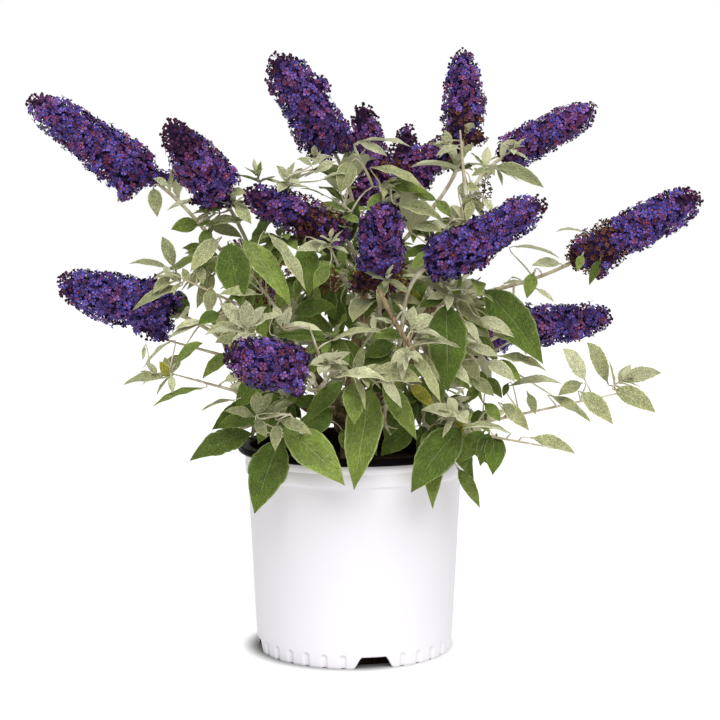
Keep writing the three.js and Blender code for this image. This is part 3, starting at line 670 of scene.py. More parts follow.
def moulded_plastic(name, colour_value, roughness, grain, specular, dust=None):
    """Moulded plastic: a faint orange peel, draw marks up the wall, and any dust inside the mouth."""

    def paint(tree, where):
        cloud = tree.noise(where, 9, 2)
        draws = tree.noise(tree.stretched(where, (60, 60, 4)), 3, 2)
        peel = tree.noise(where, 900, 1)
        worn = tree.smooth(tree.noise(where, 34, 4), 0.62, 0.8)
        base = tree.mix(cloud * 0.5 + worn * 0.25, colour_value, shade(colour_value, 0.94))
        if dust:
            level = tree.vector("MULTIPLY", where, (1, 1, 0))
            inside = 1 - tree.smooth(tree.vector("LENGTH", level, output="Value"), *DUSTY_WITHIN)
            base = tree.mix(inside * tree.smooth(tree.noise(where, 120, 4, 0.7), 0.3, 0.7), base, dust)
        bumps = tree.bump(peel * 0.3 + draws * 0.7, grain, 0.5)
        return surface(base, roughness + cloud * 0.08 + worn * 0.12, bumps)

    return finish(name, paint, specular=specular)


def damp_soil(name, settings):
    def paint(tree, where):
        crumbs = tree.noise(where, 260, 5, 0.7)
        fibres = tree.noise(tree.stretched(where, (1, 5, 1)), 150, 3)
        base = tree.coats(
            shade(settings.soil, 0.5),
            (tree.smooth(crumbs, 0.35, 0.7), shade(settings.soil, 1.7)),
            (tree.smooth(fibres, 0.62, 0.74) * 0.6, settings.chip),
        )
        return surface(base, 0.98 - fibres * 0.2, tree.bump(crumbs + fibres * 0.4, 0.0016))

    return finish(name, paint, specular=0.2)


def chipped_bark(name, colour_value):
    def paint(tree, where):
        streaks = tree.noise(tree.stretched(where, (3, 9, 3)), 90, 4, 0.65)
        patches = tree.noise(where, 60, 2)
        base = tree.coats(
            shade(colour_value, 0.45),
            (tree.smooth(streaks, 0.35, 0.65), shade(colour_value, 1.4)),
            (tree.smooth(patches, 0.5, 0.62) * 0.6, shade(colour_value, 0.5)),
        )
        return surface(base, 0.95 - streaks * 0.2, tree.bump(streaks, 0.0008))

    return finish(name, paint, specular=0.2)


def old_bark(name, settings):
    """Tan bark that peels in long strips with dark cracks between."""

    def paint(tree, where):
        strips = tree.noise(tree.stretched(where, (1, 1, 0.18)), 230, 5, 0.62)
        fibres = tree.noise(tree.stretched(where, (1, 1, 0.1)), 900, 3, 0.6)
        moss = tree.smooth(tree.noise(where, 45, 2), 0.55, 0.75)
        base = tree.coats(
            settings.crack,
            (tree.smooth(strips, 0.38, 0.56), settings.bark),
            (tree.smooth(fibres, 0.5, 0.7) * 0.5, shade(settings.bark, 1.45)),
            (moss * 0.3, shade(settings.felt, 0.8)),
        )
        return surface(base, 0.96 - fibres * 0.22, tree.bump(strips + fibres * 0.35, 0.0012))

    return finish(name, paint, specular=0.25)


def downy_stem(name, settings):
    """Tan stem under white down that wears off in patches."""

    def paint(tree, where):
        worn = tree.noise(where, 70, 4, 0.6)
        down = tree.noise(where, 1500, 2)
        ribs = tree.noise(tree.stretched(where, (1, 1, 0.15)), 700, 2)
        base = tree.coats(
            settings.stem,
            (tree.smooth(worn, 0.4, 0.62), settings.felt),
            (tree.smooth(ribs, 0.5, 0.75) * 0.4, shade(settings.stem, 0.7)),
        )
        return surface(base, 0.8 + down * 0.2, tree.bump(down * 0.6 + ribs * 0.6, 0.0004))

    return finish(name, paint, sheen=0.25, sheen_roughness=0.5, specular=0.3)


VEINS = 9.0  # side veins along a leaf
VEIN_SLANT = 0.42  # how far a side vein runs forward on its way out, as a share of the leaf
NET_SCALE = 330
RIPE_GAINS = (1.7, 1.4, 0.8)  # red, green and blue of a blade towards its tip


def vein_masks(tree):
    """How far along a leaf a point lies, and masks of its midrib, side veins and margin."""
    along, across, _ = uv_parts(tree)
    side = ((across - 0.5) * 2).math("ABSOLUTE")
    midrib = 1 - tree.smooth(side, 0.02, 0.07)
    wave = (along * VEINS - side * (VEINS * VEIN_SLANT)).math("FRACT")
    vein = 1 - tree.smooth((wave - 0.5).math("ABSOLUTE"), 0.02, 0.12)
    margin = tree.smooth(side, 0.86, 0.98)
    return along, midrib, vein, margin


def uv_parts(tree):
    where = tree.wire("ShaderNodeUVMap", {"uv_map": "UVMap"}, {})
    parts = tree.node("ShaderNodeSeparateXYZ", {}, {0: where})
    return [Wire(tree, socket) for socket in parts.outputs]


def leaf_face(name, colour_value, pale, felt):
    """The upper face of a leaf: a pale midrib and margin, and a skin puckered between its veins."""

    ripe = tuple(min(1.0, c * gain) for c, gain in zip(colour_value, RIPE_GAINS))

    def paint(tree, where):
        along, midrib, vein, margin = vein_masks(tree)
        tone = tree.attribute("tone")
        blotch = tree.noise(where, 55, 3, 0.6)
        skin = tree.noise(where, 300, 3, 0.6)
        cell = tree.wire(
            "ShaderNodeTexVoronoi", {"feature": "DISTANCE_TO_EDGE"},
            {"Vector": where, "Scale": NET_SCALE}, "Distance",
        )
        net = 1 - tree.smooth(cell, 0.02, 0.2)
        base = tree.coats(
            shade(colour_value, 0.58),
            (tree.smooth(blotch, 0.35, 0.7), shade(colour_value, 1.28)),
            ((1 - along) * 0.5, shade(colour_value, 0.5)),
            (tree.smooth(along, 0.5, 1.0) * (0.4 - 0.3 * felt), ripe),
            (tree.smooth(skin, 0.34, 0.7) * (0.1 + felt * 0.62), pale),
            (net * (0.08 + felt * 0.4) + vein * (0.06 + felt * 0.2), pale),
            (tone * 0.5, shade(colour_value, 0.4)),
            (margin * (0.4 + felt * 0.4), shade(pale, 1.12)),
            (midrib * (0.22 + felt * 0.5), shade(pale, 1.1)),
        )
        quilt = skin * 0.45 - net * 0.5 - vein * 0.4 - midrib * 0.9
        return surface(base, 0.5 + felt * 0.35 + skin * 0.12, tree.bump(quilt, 0.0022, 0.9))

    return finish(name, paint, sheen=0.2 * felt, sheen_roughness=0.4, specular=0.22)


def leaf_back(name, colour_value):
    """The felted lower face, on which the veins stand out."""

    def paint(tree, where):
        _, midrib, vein, margin = vein_masks(tree)
        tone = tree.attribute("tone")
        down = tree.noise(where, 700, 3, 0.6)
        blotch = tree.noise(where, 60, 2)
        base = tree.coats(
            shade(colour_value, 0.8),
            (blotch * 0.7, shade(colour_value, 1.1)),
            (tree.smooth(down, 0.4, 0.65) * 0.5, shade(colour_value, 0.55)),
            (vein * 0.3 + midrib * 0.5 + margin * 0.4, shade(colour_value, 1.25)),
            (tone * 0.2, shade(colour_value, 0.55)),
        )
        ridges = tree.bump(vein * 0.8 + midrib + down * 0.35, 0.0006, 0.7)
        return surface(base, 0.82 + down * 0.15, ridges)

    return finish(name, paint, sheen=0.2, sheen_roughness=0.5, specular=0.2)


def petal(name, colour_value, tip):
    """A lobe that is dark at the throat and bright at its edge."""

    def paint(tree, where):
        ray = tree.attribute("ray")
        tone = tree.attribute("tone")
        drift = tree.noise(where, 75, 2)
        patch = tree.noise(where, 170, 1)
        grain = tree.noise(where, 1400, 2)
        base = tree.coats(
            colour_value,
            (tree.smooth(drift, 0.35, 0.65), tip),
            (tree.smooth(patch, 0.46, 0.62) * 0.75, shade(colour_value, 0.3)),
            (1 - tree.smooth(ray, 0.15, 0.65), shade(colour_value, 0.3)),
            (tree.smooth(grain, 0.5, 0.8) * 0.4, shade(tip, 1.35)),
            (tree.smooth(tone, 0.3, 1.0) * 0.8, shade(colour_value, 0.22)),
        )
        return surface(base, 0.62 + grain * 0.2, tree.bump(grain, 0.0003, 0.6))

    return finish(name, paint, specular=0.15)


def mottled(name, colour_value, scale, rough=0.85):
    """One colour that drifts from darker to lighter, for cores, buds, eyes and withered florets."""

    def paint(tree, where):
        drift = tree.noise(where, scale, 3, 0.6)
        base = tree.coats(
            shade(colour_value, 0.6),
            (tree.smooth(drift, 0.3, 0.7), shade(colour_value, 1.5)),
            (tree.smooth(tree.attribute("tone"), 0.2, 0.9) * 0.8, shade(colour_value, 0.35)),
        )
        return surface(base, rough + drift * 0.1, tree.bump(drift, 0.0006, 0.6))

    return finish(name, paint, specular=0.3)


PAINTED_SHADOW_CENTRE = (-0.007, 0, 0)  # middle of the painted contact shadow, a dim round patch under the pot, in metres; set left of the axis so that it reaches further on the left


def floor_paper(name, settings):
    """White paper that glows of itself, painted light that keeps it white under the plant's shadow, with a
    painted contact shadow where the glow fades under the pot.
    """

    def paint(tree, where):
        tooth = tree.noise(where, 400, 2)
        base = tree.mix(tooth * 0.2, settings.floor, shade(settings.floor, 0.99))
        away = tree.vector("LENGTH", tree.vector("SUBTRACT", where, PAINTED_SHADOW_CENTRE), output="Value")
        foot = POT["foot"] * MM
        # painted contact shadow: the glow fades out from 17 mm beyond the pot's foot to 9 mm inside it
        clear = tree.smooth(away, foot - 0.009, foot + 0.017)
        return {"Base Color": base, "Roughness": 0.9 + tooth * 0.05, "Emission Color": clear * 0.98 + 0.02}

    return finish(name, paint, specular=0.1, glow=settings.glow)


# ---------------------------------------------------------------- meshes


class Heap:
    """Small shapes of one kind, gathered into one mesh. Points are given in millimetres."""

    def __init__(self):
        self.points = []
        self.faces = []
        self.marks = []
        self.uvs = []
        self.tones = []
        self.count = 0

    def add(self, points, faces, mark=0, uvs=None, tone=0.0):
        points = np.asarray(points, float).reshape(-1, 3)
        self.points.append(points)
        self.faces.extend([corner + self.count for corner in face] for face in faces)
        self.marks.extend(mark if isinstance(mark, list) else [mark] * len(faces))
        self.uvs.append(np.zeros((len(points), 2)) if uvs is None else uvs)
        self.tones.append(np.full(len(points), tone))
        self.count += len(points)

    def mesh(self, name, sharp=None):
        points = np.concatenate(self.points) * MM
        made = bpy.data.meshes.new(name)
        made.from_pydata(points.tolist(), [], self.faces)
        made.polygons.foreach_set("material_index", self.marks)
        made.shade_smooth()
        corners = np.empty(len(made.loops), int)
        made.loops.foreach_get("vertex_index", corners)
        layer = made.uv_layers.new(name="UVMap")
        layer.uv.foreach_set("vector", np.concatenate(self.uvs)[corners].ravel())
        tones = made.attributes.new("tone", "FLOAT", "POINT")
        tones.data.foreach_set("value", np.concatenate(self.tones))
        if sharp:
            made.set_sharp_from_angle(angle=math.radians(sharp))
        return made


def mesh_of(name, points, faces, mark=0, sharp=None):
    heap = Heap()
    heap.add(points, faces, mark)
    return heap.mesh(name, sharp)


def piece(name, mesh, materials, nodes):
    """Puts a finished mesh on the plant."""
    made = bpy.data.objects.new(name, mesh)
    bpy.context.scene.collection.objects.link(made)
    for material in materials:
        mesh.materials.append(material)
    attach(made, "root")
    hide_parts(*nodes)


def ringed(rings, bearings, closed_ends=True):
    """Points and faces of a turned body. Each ring is a radius and a height, arrays or numbers."""
    count = len(bearings)
    points = []
    for radius, height in rings:
        radius = np.broadcast_to(radius, count)
        height = np.broadcast_to(height, count)
        points.append(np.stack([radius * np.cos(bearings), radius * np.sin(bearings), height], 1))
    index = np.arange(count)
    after = (index + 1) % count
    faces = []
    for ring in range(len(rings) - 1):
        low, high = ring * count, (ring + 1) * count
        faces.append(np.stack([low + index, low + after, high + after, high + index], 1))
    points = np.concatenate(points)
    faces = np.concatenate(faces).tolist()
    if closed_ends:
        faces.append((index[::-1]).tolist())
        faces.append(((len(rings) - 1) * count + index).tolist())
    return points, faces


def tube(points, radii, sides):
    """Points and faces of a closed round tube through a row of points."""
    points = [Vector(p) for p in points]
    side = (points[1] - points[0]).orthogonal().normalized()
    made = []
    for i, centre in enumerate(points):
        ahead = (points[min(i + 1, len(points) - 1)] - points[max(i - 1, 0)]).normalized()
        side = (side - ahead * side.dot(ahead)).normalized()
        other = ahead.cross(side)
        for k in range(sides):
            turn = 2 * math.pi * k / sides
            made.append(centre + (side * math.cos(turn) + other * math.sin(turn)) * radii[i])
    faces = []
    for i in range(len(points) - 1):
        for k in range(sides):
            a, b = i * sides + k, i * sides + (k + 1) % sides
            faces.append((a, b, b + sides, a + sides))
    faces.append(tuple(reversed(range(sides))))
    faces.append(tuple(range(len(made) - sides, len(made))))
    return made, faces


# ---------------------------------------------------------------- geometry nodes


def group(name, sockets):
    """A Geometry Nodes tree with named inputs, its Tree, and its inputs as wires."""
    tree = bpy.data.node_groups.new(name, "GeometryNodeTree")
    tree.interface.new_socket("Geometry", in_out="OUTPUT", socket_type="NodeSocketGeometry")
    for label, kind in {"Geometry": "Geometry", **sockets}.items():
        tree.interface.new_socket(label, in_out="INPUT", socket_type="NodeSocket" + kind)
    maker = Tree(tree)
    entry = maker.node("NodeGroupInput")
    wires = {socket.name: Wire(maker, socket) for socket in entry.outputs if socket.name}
    return tree, maker, wires


def tube_tree():
    """Sweeps a round section along every chain of edges, as wide as its points' thickness."""
    tree, make, given = group("stem_sweep", {"Sides": "Int", "Skin": "Material"})
    path = make.wire("GeometryNodeMeshToCurve", {}, {"Mesh": given["Geometry"]})
    section = make.wire(
        "GeometryNodeCurvePrimitiveCircle", {"mode": "RADIUS"}, {"Resolution": given["Sides"], "Radius": 1.0}
    )
    swept = make.wire("GeometryNodeCurveToMesh", {}, {
        "Curve": path, "Profile Curve": section, "Scale": make.named("thickness"), "Fill Caps": True,
    })
    soft = make.wire("GeometryNodeSetShadeSmooth", {}, {"Geometry": swept})
    real = make.wire("GeometryNodeRealizeInstances", {}, {"Geometry": soft})
    make.node("NodeGroupOutput", {}, {"Geometry": make.covered(real, given["Skin"])})
    return tree


SCATTER_INPUTS = {
    "Shape": "Object", "Distance": "Float", "Density": "Float", "Seed": "Int",
    "From": "String", "To": "String", "Least Size": "Vector", "Most Size": "Vector",
    "Tilt": "Float", "Sink": "Float", "Lift": "Float", "Skin": "Material", "Eye": "Material",
}


def scatter_tree():
    """Stands copies of a shape on a surface, where a random share falls between two attributes."""
    tree, make, given = group("scatter", SCATTER_INPUTS)
    seed = given["Seed"]
    spots = make.node(
        "GeometryNodeDistributePointsOnFaces", {"distribute_method": "POISSON"},
        {"Mesh": given["Geometry"], "Distance Min": given["Distance"],
         "Density Max": given["Density"], "Seed": seed},
    )
    share = make.random("FLOAT", 0.0, 1.0, seed + 1)
    above, below = [share.math("LESS_THAN", make.named(given[end])) for end in ("From", "To")]
    tilt = given["Tilt"]
    least, most = make.combined(0 - tilt, 0 - tilt, 0.0), make.combined(tilt, tilt, math.tau)
    turn = make.random("FLOAT_VECTOR", least, most, seed + 2)
    lean = make.wire("FunctionNodeEulerToRotation", {}, {"Euler": turn})
    upright = Wire(make, spots.outputs["Rotation"])
    turned = make.wire(
        "FunctionNodeRotateRotation", {"rotation_space": "LOCAL"}, {"Rotation": upright, "Rotate By": lean}
    )
    shape = make.wire("GeometryNodeObjectInfo", {}, {"Object": given["Shape"]}, "Geometry")
    size = make.random("FLOAT_VECTOR", given["Least Size"], given["Most Size"], seed + 3)
    copies = make.wire("GeometryNodeInstanceOnPoints", {}, {
        "Points": Wire(make, spots.outputs["Points"]), "Selection": (1 - above) * below,
        "Instance": shape, "Rotation": turned, "Scale": size,
    })
    rise = make.random("FLOAT", 0 - given["Sink"], given["Lift"], seed + 4)
    raised = make.wire("GeometryNodeTranslateInstances", {}, {
        "Instances": copies, "Translation": make.combined(0.0, 0.0, rise), "Local Space": True,
    })
    toned = make.wire(
        "GeometryNodeStoreNamedAttribute", {"data_type": "FLOAT", "domain": "INSTANCE"},
        {"Geometry": raised, "Name": "tone", "Value": make.random("FLOAT", 0.0, 1.0, seed + 5)},
    )
    real = make.wire("GeometryNodeRealizeInstances", {}, {"Geometry": toned})
    eyed = make.covered(make.covered(real, given["Skin"]), given["Eye"], Selection=make.named("eye"))
    make.node("NodeGroupOutput", {}, {"Geometry": eyed})
    return tree


def grown(name, mesh, tree, values):
    """The mesh that a node tree makes of another mesh."""
    carrier = bpy.data.objects.new(name, mesh)
    bpy.context.scene.collection.objects.link(carrier)
    modifier = carrier.modifiers.new("Growth", "NODES")
    modifier.node_group = tree
    for item in tree.interface.items_tree:
        if item.in_out == "INPUT" and item.name in values:
            modifier[item.identifier] = values[item.name]
    graph = bpy.context.evaluated_depsgraph_get()
    made = bpy.data.meshes.new_from_object(carrier.evaluated_get(graph), depsgraph=graph)
    made.name = name
    carrier.modifiers.remove(modifier)
    bpy.data.objects.remove(carrier)
    return made


# ---------------------------------------------------------------- the growing rule


class Dice:
    """Repeatable numbers between 0 and 1, in a row of their own for each seed."""

    def __init__(self, seed):
        self.state = seed

    def roll(self):
        self.state = (self.state + 0x6D2B79F5) & 0xFFFFFFFF
        mixed = ((self.state ^ (self.state >> 15)) * (self.state | 1)) & 0xFFFFFFFF
        step = ((mixed ^ (mixed >> 7)) * (mixed | 61)) & 0xFFFFFFFF
        mixed ^= (mixed + step) & 0xFFFFFFFF
        return (mixed ^ (mixed >> 14)) / 4294967296

    def between(self, low, high):
        return low + (high - low) * self.roll()


def seed_of(name):
    total = 7
    for letter in name:
        total = (total * 31 + ord(letter)) % 65536
    return total


def heading(bearing, pitch):
    bearing, pitch = math.radians(bearing), math.radians(pitch)
    flat = math.cos(pitch)
    return Vector((flat * math.cos(bearing), flat * math.sin(bearing), math.sin(pitch)))


def place(bearing, reach, height):
    return heading(bearing, 0) * reach + UP * height


class Bend:
    """A cubic curve that is measured along its own length."""

    STEPS = 200

    def __init__(self, *corners):
        self.corners = [np.array(corner) for corner in corners]
        self.times = np.linspace(0, 1, self.STEPS + 1)
        points = self.points(self.times)
        spans = np.linalg.norm(np.diff(points, axis=0), axis=1)
        self.lengths = np.concatenate([[0], np.cumsum(spans)])
        self.length = float(self.lengths[-1])

    def points(self, t):
        t = np.asarray(t)[..., None]
        a, b, c, d = self.corners
        return a * (1 - t) ** 3 + b * 3 * t * (1 - t) ** 2 + c * 3 * t * t * (1 - t) + d * t ** 3

    def time(self, u):
        return float(np.interp(u * self.length, self.lengths, self.times))

    def at(self, u):
        return Vector(self.points(self.time(u)))

    def tangent(self, u):
        t = self.time(u)
        a, b, c, d = self.corners
        slope = (b - a) * (1 - t) ** 2 + (c - b) * 2 * t * (1 - t) + (d - c) * t * t
        return Vector(slope).normalized()

    def chord(self, u, steps):
        """The middle of a limb that runs straight from one of its stations to the next."""
        station = min(int(u * steps), steps - 1)
        first, second = self.at(station / steps), self.at((station + 1) / steps)
        return first.lerp(second, u * steps - station)


def bend_between(start, leaves, arrives, end):
    return Bend(start, start + leaves * HANDLE, end - arrives * HANDLE, end)


HEAD = Vector((*TRUNK["lean"], TRUNK["head_height"]))
Leaf = namedtuple("Leaf", "root direction face length hang tint slender")
Twig = namedtuple("Twig", "path thick leaves")


def bough_curve(name):
    out_bearing, rise, bearing, reach, height = BOUGHS[name]
    leaves = heading(out_bearing, rise)
    start = HEAD + leaves * (TRUNK["head"] + GAP)
    end = place(bearing, reach, height)
    span = (end - start).length
    arrives = (end - (start + leaves * span * 0.5)).lerp(UP, 0.15).normalized()
    return bend_between(start, leaves * span, arrives * span, end)


def spread(directions, least):
    """Turns directions apart until no two are nearer than least. The first one stays."""
    for _ in range(SPREAD_ROUNDS):
        for j in range(1, len(directions)):
            for i in range(j):
                short = least - directions[i].angle(directions[j])
                if short <= 0:
                    continue
                push = (directions[j] - directions[i]).normalized() * (short / 2)
                directions[j] = (directions[j] + push).normalized()
                if i > 0:
                    directions[i] = (directions[i] - push).normalized()
    return directions


class Shoot:
    """A stem from a bough's knuckle to its last part, which flowers or bears leaves."""

    def __init__(self, name, row):
        bough, bearing, reach, height, turn, pitch, last = row[:7]
        self.name = name
        self.bough = bough
        self.foot = place(bearing, reach, height)
        self.ahead = heading(turn, pitch)
        self.length = last
        self.tip = self.foot + self.ahead * last
        self.flowers = name in FLOWERING
        self.girth = row[7] if self.flowers else 0
        self.leaf = FLOWERING_LEAF if self.flowers else row[7:10]
        self.centre = place(*BOUGHS[bough][2:])
        self.leaves = (self.foot - self.centre).normalized()

    def settle(self):
        start = self.centre + self.leaves * (BOUGH["knuckle"] + GAP)
        span = (start - self.foot).length
        self.stem = bend_between(start, self.leaves * span, self.ahead * span, self.foot)
        steps = [self.stem.at(i / SPINE_STEPS) for i in range(SPINE_STEPS + 1)]
        steps += [self.foot + self.ahead * at for at in range(0, int(self.length) + 1, SPINE_PITCH)]
        self.spine = np.array(steps)


def read_shoots():
    shoots = [Shoot(name, row) for name, row in {**FLOWERING, **LEAFY}.items()]
    for name in BOUGHS:
        family = [shoot for shoot in shoots if shoot.bough == name]
        back = -bough_curve(name).tangent(1)
        ways = spread([back] + [shoot.leaves for shoot in family], math.radians(KNUCKLE_ANGLE))
        for shoot, way in zip(family, ways[1:]):
            shoot.leaves = way
    for shoot in shoots:
        shoot.settle()
    return shoots


def offshoot(tangent, roll, opening):
    """The way out from a stem at an angle to it, rolled round it from its level side."""
    level = tangent.cross(UP).normalized()
    out = level * math.cos(roll) + level.cross(tangent) * math.sin(roll)
    return out * math.sin(opening) + tangent * math.cos(opening)


def face_of(direction, tangent):
    face = tangent * 0.6 + UP
    return (face - direction * face.dot(direction)).normalized()


def leaf_pair(root, tangent, turn, leaf, grade, dice, tint=None):
    largest, hang, opening = leaf
    made = []
    for half in (0, math.pi):
        roll = turn + half + math.radians(swayed(0, SWAY["roll"], dice))
        direction = offshoot(tangent, roll, math.radians(swayed(opening, SWAY["opening"], dice)))
        size = largest * grade * swayed(1, SWAY["size"], dice)
        made.append(Leaf(root, direction, face_of(direction, tangent), size, hang, tint, LEAF["slender"]))
    return made


def swayed(value, most, dice):
    return value - most + 2 * most * dice.roll()


def side_twig(root, tangent, turn, span, leaf, dice):
    direction = (offshoot(tangent, turn, math.radians(TWIG["angle"])) + UP * 0.25).normalized()
    first = dice.roll() * math.pi
    leaves = []
    for pair, (u, grade) in enumerate(TWIG_PAIRS):
        at = root + direction * span * u
        leaves += leaf_pair(at, direction, first + pair * math.pi / 2, leaf, grade, dice)
    return Twig(sagging(root, root + direction * span), TWIG["radius"], leaves)


def sagging(start, end):
    """The way of a twig that hangs a little under its own weight."""
    sag = UP * (end - start).length * SAG
    return [start.lerp(end, t) - sag * math.sin(math.pi * t) for t in (0, 0.25, 0.5, 0.75, 1)]


def growth(shoot):
    """What the source's rule grows on a shoot, and the finer growth between."""
    dice = Dice(seed_of(shoot.name))
    fine = Dice(seed_of(shoot.name) + 977)
    stem, reach = shoot.stem, shoot.stem.length
    parts = []
    turn = dice.roll() * math.pi
    at = LEAF["first_node"]
    while at < reach - BARE_END:
        u = at / reach
        root, tangent = stem.chord(u, STEM["steps"]), stem.tangent(u)
        grade = LEAF_SIZE["lowest"] - LEAF_SIZE["drop"] * u
        parts += leaf_pair(root, tangent, turn, shoot.leaf, grade, dice)
        parts += axil_growth(root, tangent, turn, u, shoot, fine)
        for half in (0, math.pi):
            grows = dice.roll() < TWIG["chance"]
            span = dice.between(TWIG["least"], TWIG["most"])
            roll = turn + half + math.radians(TWIG["turn"])
            twig = side_twig(root, tangent, roll, span, shoot.leaf, dice)
            if grows:
                parts.append(twig)
        turn += math.radians(swayed(LEAF["roll"], SWAY["turn"], dice))
        at += LEAF["pitch"]
    if shoot.flowers:
        parts += collar(shoot, fine)
    else:
        parts += rosette(shoot, turn, dice, fine)
    return parts


def axil_growth(root, tangent, turn, u, shoot, fine):
    """A short leafy twig in the angle of each leaf of a pair."""
    made = []
    for half in (0, math.pi):
        grows = fine.roll() < AXIL["chance"]
        span = fine.between(*AXIL["span"]) * (1.15 - 0.5 * u)
        roll = turn + half + fine.between(-AXIL["turn"], AXIL["turn"])
        way = offshoot(tangent, roll, math.radians(fine.between(*AXIL["angle"])))
        way = (way + UP * AXIL["rise"]).normalized()
        size = fine.between(*AXIL["size"])
        leaves = []
        first = fine.roll() * math.pi
        small = (shoot.leaf[0], AXIL["hang"], AXIL["opening"])
        for pair, (share, grade) in enumerate(AXIL["pairs"]):
            at, roll = root + way * span * share, first + pair * math.pi / 2
            leaves += leaf_pair(at, way, roll, small, size * grade, fine)
        if grows:
            made.append(Twig(sagging(root, root + way * span), AXIL["radius"], leaves))
    return made


def collar(shoot, fine):
    """The small leaves right under a spire."""
    leaf = (shoot.leaf[0], 0.3, 62)
    first = fine.roll() * math.pi
    made = []
    ways = (shoot.ahead, shoot.stem.tangent(COLLAR[1][0]))
    for (u, least, most, turn), way in zip(COLLAR, ways):
        made += leaf_pair(shoot.stem.at(u), way, first + turn, leaf, fine.between(least, most), fine)
    return made


def rosette(shoot, turn, dice, fine):
    """Closing leaf pairs along the end of a leafy shoot, with smaller ones between."""
    parts = []
    at = 0
    while at < shoot.length:
        u = at / shoot.length
        root = shoot.foot + shoot.ahead * at
        grade = ROSETTE["foot"] + (ROSETTE["tip"] - ROSETTE["foot"]) * u
        parts += leaf_pair(root, shoot.ahead, turn, shoot.leaf, grade, dice)
        step = LEAF["bud_pitch"] + ROSETTE["widening"] * (1 - u)
        largest, hang, opening = shoot.leaf
        between = (largest, hang * BETWEEN["hang"], opening * BETWEEN["opening"])
        halfway = root + shoot.ahead * step * 0.5
        grade = (BETWEEN["foot"] - BETWEEN["drop"] * u) * fine.between(*BETWEEN["vary"])
        parts += leaf_pair(halfway, shoot.ahead, turn + math.pi / 4, between, grade, fine)
        parts += axil_growth(root, shoot.ahead, turn, 0.6, shoot, fine)
        turn += math.pi / 2
        at += step
    for ring, grade in enumerate(ROSETTE["buds"]):
        bud = (shoot.leaf[0], 0.1, 26 - ring * 8)
        at = shoot.tip + shoot.ahead * ring * 2
        parts += leaf_pair(at, shoot.ahead, turn + ring * 1.57, bud, grade, fine)
    return parts


def twig_to(point, arrives, stems, thick):
    """A bent twig from the nearest stem to a point, where it arrives along its own heading."""
    start = Vector(stems[np.argmin(np.linalg.norm(stems - np.array(point), axis=1))])
    span = (point - start).length
    rises = start.lerp(point, 0.3) + UP * span * 0.12
    bend = Bend(start, rises, point - arrives * span * HANDLE, point)
    return Twig([bend.at(i / 8) for i in range(9)], thick, [])


def sprig(row, tint, stems):
    """A short shoot whose leaf pairs close up towards its tip, and the twig that carries it."""
    bearing, pitch, span, largest, hang, turn = row[3:]
    foot, ahead = Vector(row[:3]), heading(bearing, pitch)
    dice = Dice(seed_of(f"sprig {foot.x:.0f} {foot.z:.0f}"))
    pairs = 3 + int(span / SPRIG["pair_pitch"])
    leaves = []
    for pair in range(pairs):
        u = pair / (pairs - 1)
        leaf = (largest, hang, SPRIG["opening"] - SPRIG["closing"] * u)
        root = foot + ahead * span * u
        roll = math.radians(turn + 90 * pair + dice.between(-SPRIG["sway"], SPRIG["sway"]))
        grade = (1.08 - 0.5 * u) * dice.between(*SPRIG["vary"])
        leaves += leaf_pair(root, ahead, roll, leaf, grade, dice, tint)
    twig = twig_to(foot, ahead, stems, SPRIG["thick"])
    return Twig(twig.path + [foot + ahead * span], twig.thick, leaves)


def before(plane, across, height, forward):
    """The point that hides a point of an upright plane from the eye, so far in front of it."""
    eye = Vector(EYE)
    return eye + (Vector((across, plane, height)) - eye) * (1 - forward / (plane - eye.y))


def front_leaf(plane, forward, tint, row):
    """The leaf between two places of an upright plane, which leans out towards its tip."""
    *ends, width = row
    lean = LEAN / 2 * math.dist(ends[:2], ends[2:])
    root = before(plane, *ends[:2], forward - lean)
    tip = before(plane, *ends[2:], forward + lean)
    return leaf_between(root, tip, width, tint)


def front_stem(row):
    plane, forward, *ends, thick = row
    foot, top = before(plane, *ends[:2], forward), before(plane, *ends[2:], forward)
    return Twig(sagging(foot, top), thick, [])


def leaf_between(root, tip, width, tint):
    """The leaf that starts at one point and droops to another. A narrow one is seen edge on."""
    size = (tip - root).length
    for _ in range(FITTING_ROUNDS):
        way = tip - root + UP * (DROOP["fall"] * FRONT_HANG * size)
        size = way.length / (1 - DROOP["short"] * FRONT_HANG)
    way.normalize()
    share = width / size
    shown = min(max((share - EDGE_ON) / (FULL_FACE - EDGE_ON), 0), 1)
    face = UP.lerp(Vector(TO_VIEWER), shown)
    face = (face - way * face.dot(way)).normalized()
    return Leaf(root, way, face, size, FRONT_HANG, tint, min(max(share, SLENDER[0]), SLENDER[1]))


# ---------------------------------------------------------------- room to grow


def nearest(point, points):
    return float(np.min(np.linalg.norm(points - np.array(point), axis=1)))


def in_own_space(point, own, shoots):
    reach = nearest(point, own.spine) * SPACE_SHARE
    return all(other is own or nearest(point, other.spine) >= reach for other in shoots)


def leaf_spine(leaf, count):
    """Points along the middle of a leaf, which rises from its root and hangs to its tip."""
    root, way = np.array(leaf.root), np.array(leaf.direction)
    start = root - way
    middle = root + way * leaf.length * 0.5
    tip = root + way * leaf.length * (1 - DROOP["short"] * leaf.hang)
    tip = tip - np.array(UP) * leaf.length * leaf.hang * DROOP["fall"]
    t = np.linspace(0, 1, count)[:, None]
    return start * (1 - t) ** 2 + middle * 2 * t * (1 - t) + tip * t * t


def clear_of_pot(points):
    reach = np.hypot(points[:, 0], points[:, 1])
    height = points[:, 2]
    wall = (reach > LEAF_ROOM["inside"]) & (reach < LEAF_ROOM["outside"]) & (height < LEAF_ROOM["rim"])
    soil = (reach <= LEAF_ROOM["soil_reach"]) & (height < LEAF_ROOM["soil"])
    return not np.any(wall | soil)


